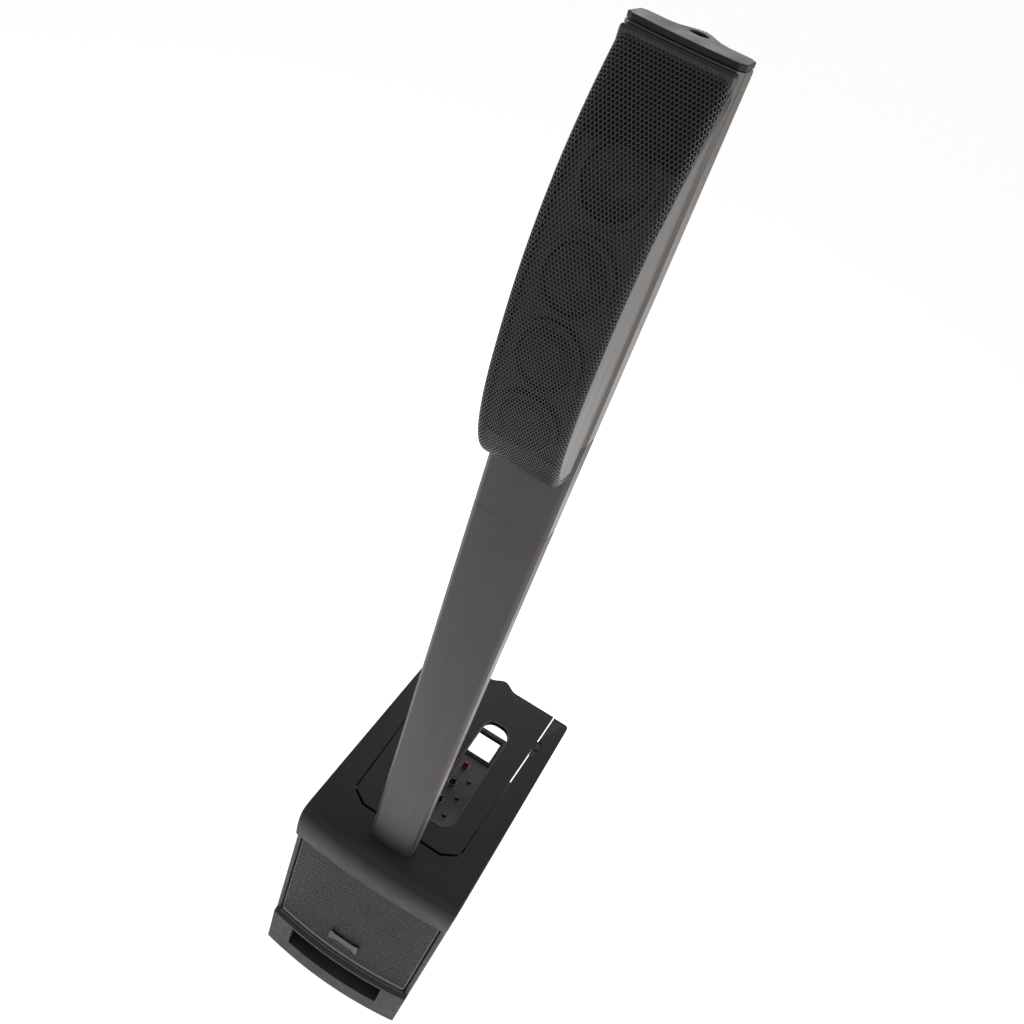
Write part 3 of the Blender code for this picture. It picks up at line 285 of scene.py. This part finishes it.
board_paint = finish("painted_board", (0.012, 0.012, 0.012), 0.7, drift=0.25, grain=300.0, depth=0.0001)
for node in ("cabinet_floor", "front_baffle"):
    paint(node, board_paint)
driver_paint = finish("driver_steel", (0.02, 0.02, 0.021), 0.35, metallic=0.5)
paint("woofer_basket", driver_paint)
paint("woofer_magnet", finish("magnet_ferrite", (0.05, 0.05, 0.055), 0.6, drift=0.25))
paper = finish("paper_cone", (0.014, 0.014, 0.015), 0.75, drift=0.3, grain=450.0, depth=0.0002)
paint("woofer_cone", paper)
cast = finish("sawn_aluminium", (0.55, 0.56, 0.58), 0.34, metallic=0.95, stretch=(1.0, 1.0, 0.06))
refined("heatsink", "base", cast, 0.0004, rounds=2)
solder_mask = finish("circuit_lacquer", (0.01, 0.07, 0.03), 0.35, drift=0.35, grain=500.0)
paint("amplifier_board", solder_mask)

# Side panels: flat moulded walls with rounded edges, screwed to the plinth and the top shell. The same
# charcoal plastic as the plinth, a little duller from carrying.

side_plastic = finish(
    "side_moulding", (0.0165, 0.0165, 0.0172), 0.5, drift=0.1, grain=1300.0, depth=0.00007, shine=0.35
)
for side in ("left", "right"):
    refined(f"side_panel_{side}", "base", side_plastic, 0.0012)

# Rear wall: an upright moulding behind the storage recess, with the mains inlet and its rocker switch.
# The inlet has three flat brass-plated pins in its socket.

black_plastic = finish("black_moulding", (0.008, 0.008, 0.0085), 0.46, drift=0.15, grain=1100.0)
refined("rear_wall", "base", charcoal, 0.0015)
refined("power_inlet", "base", black_plastic, 0.0007)
refined("power_switch", "mains_rocker", black_plastic, 0.0009)
bright_metal = finish("nickel_plate", (0.45, 0.44, 0.41), 0.3, metallic=1.0, drift=0.08)
inlet_low, inlet_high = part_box("power_inlet")
inlet_middle = (inlet_low + inlet_high) / 2
pins = bmesh.new()
for across, up in ((-0.007, -0.0025), (0.0, 0.003), (0.007, -0.0025)):
    blade = Matrix.Translation((inlet_middle.x + across, inlet_high.y - 0.013, inlet_middle.z + up))
    bmesh.ops.create_cube(pins, size=1.0, matrix=blade @ Matrix.Diagonal((0.002, 0.017, 0.004, 1)))
piece("inlet_pins", pins, "base", bright_metal, ease=0.0004, rounds=2)

# Top shell: one large moulding that rolls down over the grille at the front and runs back in two arms.
# Its rear corners are rounded, and small plugs cover the screws that hold it down.

shell_plastic = finish(
    "shell_moulding", (0.0105, 0.0105, 0.0110), 0.48, drift=0.06, grain=1500.0, depth=0.00006, shine=0.28
)
shell_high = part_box("top_shell")[1]
arm_corner = 0.010
corner_cuts = 7


def round_arm_ends(shape):
    """Turns the square rear corners of the arms into quarter rounds, seen from above."""
    for side in (-1, 1):
        for cut in range(corner_cuts):
            step = arm_corner * (1 - cut / corner_cuts)
            across_cut = ((side * (shell_high.x - step), 0, 0), (1, 0, 0))
            along_cut = ((0, shell_high.y - step, 0), (0, 1, 0))
            for spot, way in (across_cut, along_cut):
                whole = shape.verts[:] + shape.edges[:] + shape.faces[:]
                bmesh.ops.bisect_plane(shape, geom=whole, plane_co=spot, plane_no=way)
    for vert in shape.verts:
        across = (abs(vert.co.x) - (shell_high.x - arm_corner)) / arm_corner
        along = (vert.co.y - (shell_high.y - arm_corner)) / arm_corner
        if across > 0 and along > 0:
            side = math.copysign(1, vert.co.x)
            vert.co.x = side * (shell_high.x - arm_corner + arm_corner * across * math.sqrt(1 - along**2 / 2))
            vert.co.y = shell_high.y - arm_corner + arm_corner * along * math.sqrt(1 - across**2 / 2)


refined("top_shell", "base", shell_plastic, 0.0014, reshape=round_arm_ends)

deck = shell_high.z
column_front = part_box("lower_spacer")[0].y
plug_places = ((0.155, 0.0095), (0.066, 0.0095), (0.166, 0.120), (0.168, 0.287))
plug_radius = 0.0062
plugs = bmesh.new()
for across, along in plug_places:
    for side in (-1, 1):
        disc = bmesh.ops.create_circle(
            plugs,
            cap_ends=True,
            segments=24,
            radius=plug_radius,
            matrix=Matrix.Translation((side * across, column_front + along, deck - 0.0004)),
        )
        flat = [face for face in disc["verts"][0].link_faces]
        risen = bmesh.ops.extrude_face_region(plugs, geom=flat)
        crown = [item for item in risen["geom"] if isinstance(item, bmesh.types.BMVert)]
        bmesh.ops.translate(plugs, vec=(0, 0, 0.0008), verts=crown)
        top = [item for item in risen["geom"] if isinstance(item, bmesh.types.BMFace)]
        bmesh.ops.inset_region(plugs, faces=top, thickness=0.0012, depth=-0.0005)
bmesh.ops.recalc_face_normals(plugs, faces=plugs.faces)
piece("screw_plugs", plugs, "base", shell_plastic, ease=0.0003, rounds=2)

# Tongue: the middle cover, with a carrying grip between two long slots. Each slot has a raised, rounded
# lip, two small stubs locate the front corners in the shell, and a moulded crease marks the thumb rest.

refined("handle_tongue", "base", shell_plastic, 0.0016, rounds=3)

slot_centre = 0.050
slot_half = 0.033
slot_front = column_front + 0.104
slot_length = 0.303
slot_fillet = 0.026
lip_width = 0.0042
lip_height = 0.0013


def rounded_plate(half_x, half_y, fillet, place, corners=10):
    """One flat face with rounded corners, facing up."""
    shape = bmesh.new()
    bmesh.ops.create_grid(shape, x_segments=1, y_segments=1, size=0.5)
    bmesh.ops.scale(shape, vec=(2 * half_x, 2 * half_y, 1), verts=shape.verts)
    bmesh.ops.bevel(
        shape,
        geom=shape.verts[:],
        offset=fillet,
        offset_type="OFFSET",
        affect="VERTICES",
        segments=corners,
        profile=0.5,
        material=-1,
    )
    bmesh.ops.translate(shape, vec=place, verts=shape.verts)
    return shape


def raised_ring(half_x, half_y, fillet, width, low, height, place):
    """A flat-bottomed rim round a rounded opening."""
    centre = Vector((place[0], place[1], low))
    shape = rounded_plate(half_x + width, half_y + width, fillet + width, centre)
    inner = bmesh.ops.inset_region(shape, faces=shape.faces[:], thickness=width, use_boundary=True)
    rim = set(inner["faces"])
    bmesh.ops.delete(shape, geom=[face for face in shape.faces if face not in rim], context="FACES")
    risen = bmesh.ops.extrude_face_region(shape, geom=shape.faces[:])
    crown = [item for item in risen["geom"] if isinstance(item, bmesh.types.BMVert)]
    bmesh.ops.translate(shape, vec=(0, 0, height), verts=crown)
    bmesh.ops.recalc_face_normals(shape, faces=shape.faces)
    return shape


slot_middle = slot_front + slot_length / 2
lip_plastic = finish("lip_moulding", (0.019, 0.019, 0.020), 0.4, drift=0.06, grain=1500.0)
for side, word in ((-1, "left"), (1, "right")):
    middle = (side * slot_centre, slot_middle)
    lip = raised_ring(slot_half, slot_length / 2, slot_fillet, lip_width, deck - 0.004, 0.004 + lip_height, middle)
    piece(f"slot_lip_{word}", lip, "base", lip_plastic, ease=0.0011, rounds=4)

tongue_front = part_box("handle_tongue")[0].y
stubs = bmesh.new()
for side in (-1, 1):
    spot = Matrix.Translation((side * 0.1340, tongue_front + 0.0195, deck - 0.0045))
    bmesh.ops.create_cone(stubs, cap_ends=True, segments=20, radius1=0.0046, radius2=0.0046, depth=0.008, matrix=spot)
piece("locating_stubs", stubs, "base", black_plastic, ease=0.0006, rounds=2)

crease_radius = 0.062
crease = bmesh.new()
rim = bmesh.ops.create_circle(crease, segments=8, radius=0.0008)
turn = Matrix.Translation((crease_radius, 0, 0)) @ Matrix.Rotation(math.pi / 2, 4, "X")
bmesh.ops.transform(crease, matrix=turn, verts=rim["verts"])
bmesh.ops.rotate(crease, cent=(0, 0, 0), matrix=Matrix.Rotation(math.radians(216), 3, "Z"), verts=crease.verts)
bmesh.ops.spin(crease, geom=crease.edges[:], cent=(0, 0, 0), axis=(0, 0, 1), angle=math.radians(108), steps=40)
bmesh.ops.holes_fill(crease, edges=crease.edges[:], sides=12)
tongue_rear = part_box("handle_tongue")[1].y
bmesh.ops.translate(crease, vec=(0, tongue_rear + 0.012, deck - 0.0004), verts=crease.verts)
bmesh.ops.recalc_face_normals(crease, faces=crease.faces)
piece("grip_crease", crease, "base", lip_plastic)

# Strap catches: a black moulded block in the pocket beside each gap, reaching across it, with a bar over
# its mouth for the strap that holds the imported column sections. Screwed to the shell from below. Its black is
# painted shade that makes the pocket floor read dark.

pocket_front = shell_high.y - 0.132
pocket_seam = 0.1443
shade_catch_width = 0.0157
for side, word in ((-1, "left"), (1, "right")):
    middle = side * (pocket_seam + shade_catch_width / 2)
    low = (middle - shade_catch_width / 2, pocket_front + 0.001, deck - 0.0068)
    shade_catch = block(low, (low[0] + shade_catch_width, pocket_front + 0.044, deck - 0.0016))
    shade_catch.normal_update()
    lid = [face for face in shade_catch.faces if face.normal.z > 0.9]
    bmesh.ops.inset_region(shade_catch, faces=lid, thickness=0.0030, depth=0.0)
    bmesh.ops.inset_region(shade_catch, faces=lid, thickness=0.0004, depth=-0.0022)
    bar = Matrix.Translation((middle, pocket_front + 0.0225, deck - 0.0026))
    bmesh.ops.create_cube(shade_catch, size=1.0, matrix=bar @ Matrix.Diagonal((shade_catch_width - 0.001, 0.0045, 0.0026, 1)))
    piece(f"strap_catch_painted_shade_{word}", shade_catch, "base", seal_and_painted_shade_black, ease=0.0007)

# Column socket: the black tube under the shell that takes the column's foot.

paint("column_socket", black_plastic)

# Bass grille: perforated steel, bowed and raked, with a plain rim and its side edges folded back. It is
# powder-coated black, and small staggered holes cover all but its rim.


def perforated(across, along, pitch, hole, band):
    """A flat sheet with staggered round holes inside a plain band, centred on the origin."""
    row_pitch = pitch * math.sqrt(3) / 2
    columns = math.ceil(across / pitch) + 2
    rows = math.ceil(along / row_pitch) + 2
    sheet = bmesh.new()
    bmesh.ops.create_grid(sheet, x_segments=columns, y_segments=rows, size=0.5)
    for vert in sheet.verts:
        column = round((vert.co.x + 0.5) * columns)
        row = round((vert.co.y + 0.5) * rows)
        vert.co.x = (column - columns / 2 + (row % 2) / 2 - 0.25) * pitch
        vert.co.y = (row - rows / 2) * row_pitch
    bmesh.ops.triangulate(sheet, faces=sheet.faces[:], quad_method="SHORT_EDGE")
    centres = [
        vert
        for vert in sheet.verts
        if abs(vert.co.x) < across / 2 - band and abs(vert.co.y) < along / 2 - band
    ]
    punched = bmesh.ops.bevel(
        sheet,
        geom=centres,
        offset=hole,
        offset_type="OFFSET",
        affect="VERTICES",
        segments=1,
        profile=0.5,
        material=-1,
    )
    bmesh.ops.delete(sheet, geom=punched["faces"], context="FACES")
    for spot, way in (
        ((across / 2, 0, 0), (1, 0, 0)),
        ((-across / 2, 0, 0), (-1, 0, 0)),
        ((0, along / 2, 0), (0, 1, 0)),
        ((0, -along / 2, 0), (0, -1, 0)),
    ):
        whole = sheet.verts[:] + sheet.edges[:] + sheet.faces[:]
        bmesh.ops.bisect_plane(sheet, geom=whole, plane_co=spot, plane_no=way, clear_outer=True)
    return sheet


def face_front(sheet):
    """Turns a sheet's faces towards the front."""
    bmesh.ops.recalc_face_normals(sheet, faces=sheet.faces)
    sheet.normal_update()
    if sum(face.normal.y * face.calc_area() for face in sheet.faces) > 0:
        bmesh.ops.reverse_faces(sheet, faces=sheet.faces[:])


base_pitch = 0.0052
base_hole = 0.00225
grille_roll = 0.006
grille_fold = 0.008
grille_half = grille_high.x - grille_roll
grille_foot_y = front_face + front_bow + 0.011
grille_head_y = column_front - 0.034
rake = math.atan2(grille_head_y - grille_foot_y, grille_high.z - grille_low.z)
roll_length = grille_roll * math.pi / 2
sheet_across = 2 * (grille_half + roll_length + grille_fold)
sheet_along = (grille_high.z - grille_low.z) / math.cos(rake)
base_sheet = perforated(sheet_across, sheet_along, base_pitch, base_hole, 0.0165)
for vert in base_sheet.verts:
    share = vert.co.y / sheet_along + 0.5
    z = grille_low.z + (grille_high.z - grille_low.z) * share
    beyond = max(0.0, abs(vert.co.x) - grille_half)
    angle = min(math.pi / 2, beyond / grille_roll)
    fold = max(0.0, beyond - roll_length)
    side = math.copysign(1, vert.co.x)
    x = side * (min(abs(vert.co.x), grille_half) + grille_roll * math.sin(angle))
    back = grille_roll * (1 - math.cos(angle)) + fold
    amount = front_bow + (lip_bow - front_bow) * share
    y = grille_foot_y + (grille_head_y - grille_foot_y) * share + back - bow(x, amount)
    vert.co = (x, y, z)
face_front(base_sheet)
mesh_coat = finish("powder_coated_mesh", (0.034, 0.0345, 0.037), 0.27, metallic=0.5, drift=0.08, grain=2200.0)
bass_grille = piece("bass_grille", base_sheet, "base", mesh_coat, wall=0.0014, angle=50)
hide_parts("front_grille")

# Badge: a blank cast plate with a sunken face and a taller block at each end, riveted through the grille.

badge_low, badge_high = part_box("badge_plate")
badge_middle = (badge_low + badge_high) / 2
badge_frame = Matrix.Translation(badge_middle) @ Matrix.Rotation(-rake, 4, "X")
badge_size = (badge_high.x - badge_low.x, 0.0028, (badge_high.z - badge_low.z) / math.cos(rake) - 0.0005)
badge_end = 0.009
badge_body_share = 0.8
badge_border = 0.0026
badge = bmesh.new()
bmesh.ops.create_cube(badge, size=1.0)
badge_body = (badge_size[0] - badge_end, badge_size[1], badge_size[2] * badge_body_share)
bmesh.ops.scale(badge, vec=badge_body, verts=badge.verts)
badge.normal_update()
face = [side for side in badge.faces if side.normal.y < -0.9]
bmesh.ops.inset_region(badge, faces=face, thickness=badge_border, depth=0.0)
bmesh.ops.inset_region(badge, faces=face, thickness=0.0008, depth=-0.0009)
for side in (-1, 1):
    spot = Matrix.Translation((side * (badge_size[0] - badge_end) / 2, -0.0001, 0))
    size = Matrix.Diagonal((badge_end, badge_size[1], badge_size[2], 1))
    bmesh.ops.create_cube(badge, size=1.0, matrix=spot @ size)
badge.transform(badge_frame)
bmesh.ops.recalc_face_normals(badge, faces=badge.faces)
plate_metal = finish(
    "satin_plate", (0.062, 0.062, 0.066), 0.36, metallic=0.8, drift=0.15, grain=900.0, stretch=(0.05, 1.0, 1.0)
)
made = piece("blank_badge", badge, "base", plate_metal, ease=0.0006, rounds=3)
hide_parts("badge_plate")

# Mixer: a folded steel panel under the tongue. Rows of fluted knobs, push buttons and locking sockets
# stand on it, with pale tick marks printed round every knob.

panel_paint = finish("panel_paint", (0.010, 0.010, 0.011), 0.42, drift=0.12, grain=1800.0)
refined("mixer_panel", "base", panel_paint, 0.0006, rounds=2)

knob_joints = [joint for joint in frame["joints"] if joint["name"].startswith("knob_")]
panel_out = Vector(knob_joints[0]["axis"])
panel_down = panel_out.cross(Vector((1, 0, 0)))
knob_radius = 0.0075
mark_ink = finish("mark_ink", (0.62, 0.62, 0.62), 0.6, drift=0.05)
knob_black = finish("knob_rubber", (0.010, 0.010, 0.010), 0.4, drift=0.15, grain=1500.0)
knob_red = finish("red_knob_plastic", (0.30, 0.008, 0.012), 0.38, drift=0.1, grain=1500.0)


def on_panel(spot, turn=0.0, along=0.0, lift=0.0):
    """A frame on the panel: Z out of its face, Y along a direction turned from straight up the slope."""
    upright = Matrix((Vector((1, 0, 0)), -panel_down, panel_out)).transposed().to_4x4()
    return Matrix.Translation(spot) @ upright @ Matrix.Rotation(turn, 4, "Z") @ Matrix.Translation((0, along, lift))


marks = bmesh.new()
for joint in knob_joints:
    spot = Vector(joint["pos_m"])
    name = joint["child"].removesuffix("_body")
    red = name == "knob_3_3"
    grip = bmesh.new()
    bmesh.ops.create_cone(
        grip,
        cap_ends=True,
        segments=36,
        radius1=knob_radius * 0.9,
        radius2=knob_radius * 0.76,
        depth=0.0118,
        matrix=Matrix.Translation((0, 0, 0.0096)),
    )
    for index, vert in enumerate(grip.verts):
        if (index // 2) % 3 == 0:
            vert.co.x *= 0.9
            vert.co.y *= 0.9
    crown = [face for face in grip.faces if face.normal.z > 0.9]
    bmesh.ops.inset_region(grip, faces=crown, thickness=0.0012, depth=-0.0006)
    bmesh.ops.create_cone(
        grip,
        cap_ends=True,
        segments=36,
        radius1=knob_radius,
        radius2=knob_radius * 0.92,
        depth=0.0032,
        matrix=Matrix.Translation((0, 0, 0.0023)),
    )
    grip.transform(on_panel(spot))
    made = piece(
        f"{name}_grip",
        grip,
        joint["child"],
        knob_red if red else knob_black,
        ease=0.0004,
        rounds=2,
    )
    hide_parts(name)
    pointer = bmesh.new()
    tip = on_panel(spot, along=knob_radius * 0.42, lift=0.0152)
    bmesh.ops.create_cube(pointer, size=1.0, matrix=tip @ Matrix.Diagonal((0.0012, 0.0050, 0.0010, 1)))
    stripe = on_panel(spot, along=knob_radius * 0.93, lift=0.0032)
    bmesh.ops.create_cube(pointer, size=1.0, matrix=stripe @ Matrix.Diagonal((0.0012, 0.0012, 0.0020, 1)))
    piece(f"{name}_pointer", pointer, joint["child"], mark_ink, ease=0.0002, rounds=1)
    for tick in range(11):
        turn = math.radians(-140 + 28 * tick)
        long = tick in (0, 5, 10)
        place = on_panel(spot, turn, along=knob_radius + (0.0044 if long else 0.0036), lift=0.0002)
        size = Matrix.Diagonal((0.0013, 0.0044 if long else 0.0028, 0.0005, 1))
        bmesh.ops.create_cube(marks, size=1.0, matrix=place @ size)

for index in (1, 2, 3):
    refined(f"button_{index}", f"button_{index}_body", lip_plastic, 0.0009)
    low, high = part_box(f"button_{index}")
    middle = (low + high) / 2
    for turn in range(4):
        place = on_panel(middle - panel_out * 0.0006, math.radians(90 * turn), along=0.0072, lift=-0.0003)
        bmesh.ops.create_cube(marks, size=1.0, matrix=place @ Matrix.Diagonal((0.0090, 0.0005, 0.0007, 1)))
piece("panel_marks", marks, "base", mark_ink)

socket_pitch = 0.075
contacts = bmesh.new()
latches = bmesh.new()
first_row = Vector(knob_joints[0]["pos_m"])
for index in (1, 2, 3, 4):
    paint(f"input_socket_{index}", black_plastic)
    low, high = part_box(f"input_socket_{index}")
    across = (low.x + high.x) / 2
    along = socket_pitch * ((index - 1) % 2)
    spot = Vector((across, first_row.y, first_row.z)) + panel_down * along
    for third in range(3):
        place = on_panel(spot, math.radians(120 * third), along=0.0056, lift=-0.0180)
        bmesh.ops.create_cone(
            contacts, cap_ends=True, segments=12, radius1=0.0013, radius2=0.0009, depth=0.0100, matrix=place
        )
    place = on_panel(spot, along=0.0138, lift=0.0040)
    bmesh.ops.create_cube(latches, size=1.0, matrix=place @ Matrix.Diagonal((0.0060, 0.0050, 0.0024, 1)))
piece("socket_contacts", contacts, "base", bright_metal)
piece("socket_latches", latches, "base", bright_metal, ease=0.0007)

# Loop handle: a moulded bar over the storage recess, rounded all over for the fingers.

refined("rear_handle", "base", charcoal, 0.0034, rounds=4)

# Spacers: two extruded aluminium tubes, painted a dark warm grey, with black blocks in their ends. A ribbed
# strip runs along both sides; its ribs are real and its light colour is painted highlight. A fine groove marks every
# joint.

tube_paint = finish(
    "tube_paint", (0.042, 0.038, 0.0355), 0.42, metallic=0.35, drift=0.05, grain=700.0, stretch=(1.0, 1.0, 0.05)
)
# The strips' light colour is painted highlight: the tubes' sides look lighter where the light falls on them.
strip_painted_highlight_metal = finish(
    "ribbed_strip_painted_highlight", (0.19, 0.170, 0.160), 0.42, metallic=0.5, drift=0.07, grain=600.0, stretch=(1.0, 1.0, 0.02)
)
column_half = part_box("lower_spacer")[1].x
corner_round = 0.0022
strip_start = 0.0085
strip_width = 0.0240
ribs = 5


def side_strips(name, low, high, body):
    """A finely ribbed strip along both sides of a column section."""
    both = bmesh.new()
    for side in (-1, 1):
        strip = bmesh.ops.create_grid(both, x_segments=ribs * 6, y_segments=1, size=0.5)
        for vert in strip["verts"]:
            share = vert.co.x + 0.5
            wave = abs(math.sin(math.pi * ribs * share))
            lift = 0.0001 + 0.0006 * min(1.0, 3 * wave)
            z = low + (high - low) * (vert.co.y + 0.5)
            vert.co = (side * (column_half + lift), column_front + strip_start + strip_width * share, z)
        faces = {face for vert in strip["verts"] for face in vert.link_faces}
        if side < 0:
            bmesh.ops.reverse_faces(both, faces=list(faces))
    both.normal_update()
    outwards = sum(face.normal.x * face.calc_center_median().x for face in both.faces)
    if outwards < 0:
        bmesh.ops.reverse_faces(both, faces=both.faces[:])
    return piece(name, both, body, strip_painted_highlight_metal, wall=0.0009, angle=60)


def round_uprights(shape):
    """Rounds a column section's long corners, and leaves its ends square."""
    shape.normal_update()
    uprights = [
        edge
        for edge in shape.edges
        if abs(edge.verts[0].co.z - edge.verts[1].co.z) > 0.05
        and len(edge.link_faces) == 2
        and edge.calc_face_angle() > math.radians(24)
    ]
    bmesh.ops.bevel(
        shape, geom=uprights, offset=corner_round, affect="EDGES", segments=4, profile=0.5, material=-1
    )


for name, body in (("lower_spacer", "lower_section"), ("upper_spacer", "upper_section")):
    refined(name, body, tube_paint, 0.0004, reshape=round_uprights)
    for block_name in (f"{name}_plug", f"{name}_socket"):
        paint(block_name, black_plastic)
    low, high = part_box(name)
    side_strips(f"{name}_strips", low.z + 0.0012, high.z - 0.0012, body)

# Array neck and housing: the same painted extrusion, with cheeks that swell forward to carry the curved
# grille, and a short length of neck below. The housing's paint is lighter than the tube paint: painted highlight.

refined("array_neck", "array_section", tube_paint, 0.0012, reshape=round_uprights)
paint("array_plug", black_plastic)
# A lighter copy of the tube paint: painted highlight for the light that falls on the housing's sides.
cheek_paint_painted_highlight = finish(
    "cheek_paint_painted_highlight", (0.090, 0.082, 0.076), 0.42, metallic=0.4, drift=0.07, grain=700.0, stretch=(1.0, 1.0, 0.08)
)
refined("array_housing", "array_section", cheek_paint_painted_highlight, 0.0011)
neck_low, neck_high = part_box("array_neck")
cap_low, cap_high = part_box("array_cap")
side_strips("neck_strips", neck_low.z + 0.0012, neck_high.z - 0.0012, "array_section")
side_strips("housing_strips", neck_high.z + 0.0012, cap_low.z - 0.0012, "array_section")

# Drivers: four small full-range units on a curved black panel, with a soft surround round each cone.

paint("array_baffle", seal_and_painted_shade_black)
small_cone = finish("small_cone", (0.010, 0.010, 0.011), 0.5, drift=0.1)
for index in (1, 2, 3, 4):
    paint(f"array_driver_{index}", small_cone)

# Array grille: perforated steel rolled back along both sides. Seen from the side it swells from the
# head to the belly and curls under to the tail; its top corners are rounded.

top = cap_high.z
top_drop = 0.008
belly_drop = 0.245
tail_drop = 0.382
top_reach = 0.008
belly_reach = 0.080
tail_reach = 0.002
head_round = 2.5
array_half = 0.047
array_roll = 0.009


def side_curve(upper_steps=60, under_steps=40):
    """The grille's front seen from the side: places (y, z) from the head down to the tail."""
    places = []
    drop = belly_drop - top_drop
    for step in range(upper_steps + 1):
        share = (step / upper_steps) ** 1.5
        reach = top_reach + (belly_reach - top_reach) * (1 - (1 - share) ** head_round)
        places.append(Vector((column_front - reach, top - top_drop - drop * share)))
    curl = tail_drop - belly_drop
    for step in range(1, under_steps + 1):
        turn = math.pi / 2 * step / under_steps
        reach = tail_reach + (belly_reach - tail_reach) * max(0.0, math.cos(turn)) ** 0.75
        places.append(Vector((column_front - reach, top - belly_drop - curl * math.sin(turn))))
    return places


curve = side_curve()
lengths = [0.0]
for before, after in zip(curve, curve[1:]):
    lengths.append(lengths[-1] + (after - before).length)
directions = []
for index in range(len(curve)):
    run = (curve[min(index + 1, len(curve) - 1)] - curve[max(index - 1, 0)]).normalized()
    directions.append(Vector((run.y, -run.x)))


def on_curve(length):
    """The place and the outward direction at a length down the curve."""
    index = 0
    while index < len(lengths) - 2 and lengths[index + 1] < length:
        index += 1
    share = (length - lengths[index]) / (lengths[index + 1] - lengths[index])
    share = min(1.0, max(0.0, share))
    out = directions[index].lerp(directions[index + 1], share).normalized()
    return curve[index].lerp(curve[index + 1], share), out


array_pitch = 0.0035
array_hole = 0.00158
array_edge = array_half - array_roll
array_across = 2 * (array_edge + array_roll * math.pi / 2)
array_along = lengths[-1]
corner = 0.015
array_sheet = perforated(array_across, array_along, array_pitch, array_hole, 0.0019)
for vert in array_sheet.verts:
    side = math.copysign(1, vert.co.x)
    across = (abs(vert.co.x) - (array_across / 2 - corner)) / corner
    along = (vert.co.y - (array_along / 2 - corner)) / corner
    if across > 0 and along > 0:
        vert.co.x = side * (array_across / 2 - corner + corner * across * math.sqrt(1 - along**2 / 2))
        vert.co.y = array_along / 2 - corner + corner * along * math.sqrt(1 - across**2 / 2)
    spot, out = on_curve(array_along / 2 - vert.co.y)
    angle = max(0.0, abs(vert.co.x) - array_edge) / array_roll
    x = side * (min(abs(vert.co.x), array_edge) + array_roll * math.sin(angle))
    spot = spot - out * array_roll * (1 - math.cos(angle))
    vert.co = (x, spot.x, spot.y)
face_front(array_sheet)
array_cover = piece("array_mesh", array_sheet, "array_section", mesh_coat, wall=0.0010, angle=60)
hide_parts("array_grille")


def curve_strip(side, start, end, front_back, rear_back, x, rows=60):
    """A ribbon that follows the side curve on one side, between two depths behind the grille's front."""
    strip = bmesh.new()
    bmesh.ops.create_grid(strip, x_segments=1, y_segments=rows, size=0.5)
    for vert in strip.verts:
        share = 0.5 - vert.co.y
        spot, out = on_curve(start + (end - start) * share)
        back = (rear_back if vert.co.x > 0 else front_back)(share)
        spot = spot - out * back
        vert.co = (side * x, spot.x, spot.y)
    bmesh.ops.recalc_face_normals(strip, faces=strip.faces)
    strip.normal_update()
    if strip.faces[:][0].normal.x * side < 0:
        bmesh.ops.reverse_faces(strip, faces=strip.faces[:])
    return strip


def rim_front(share):
    return array_roll - 0.0012


def rim_rear(share):
    return array_roll + 0.0021


def shoulder_rear(share):
    return array_roll + 0.0020 + 0.0150 * (1 - share) ** 1.6


for side, word in ((-1, "left"), (1, "right")):
    rim = curve_strip(side, 0.002, lengths[-1] - 0.004, rim_front, rim_rear, 0.0471)
    piece(f"grille_rim_{word}", rim, "array_section", seal_and_painted_shade_black, wall=0.0016)
    shoulder = curve_strip(side, 0.002, 0.105, rim_front, shoulder_rear, 0.0474)
    piece(f"shoulder_{word}", shoulder, "array_section", charcoal, wall=0.0018, ease=0.0004)

head_low = Vector((-array_half, column_front - 0.0085, cap_low.z - 0.0150))
head = block(head_low, (array_half, column_front + 0.0060, cap_low.z - 0.0012))
piece("head_front", head, "array_section", seal_and_painted_shade_black, ease=0.0030, rounds=4)

# A thin black sheet behind the grille's head, where no driver stands: painted shade that makes the holes there read
# black.

shade_sheet_black = finish("shade_sheet_black", (0.004, 0.004, 0.004), 0.95, drift=0.3, grain=500.0, depth=0.0004)
shade_sheet_length = 0.062
shade_sheet = bmesh.new()
bmesh.ops.create_grid(shade_sheet, x_segments=2, y_segments=14, size=0.5)
for vert in shade_sheet.verts:
    spot, out = on_curve(0.003 + shade_sheet_length * (0.5 - vert.co.y))
    spot = spot - out * 0.0028
    vert.co = (2 * vert.co.x * (array_edge + 0.005), spot.x, spot.y)
face_front(shade_sheet)
piece("head_shade_sheet", shade_sheet, "array_section", shade_sheet_black, wall=0.0030)

# Cap: a flat moulded plate that closes the column, with a chamfered hole for a locking pin.

cap_plastic = finish("cap_moulding", (0.010, 0.010, 0.0106), 0.55, drift=0.06, grain=1500.0, shine=0.25)
refined("array_cap", "array_section", cap_plastic, 0.0010)
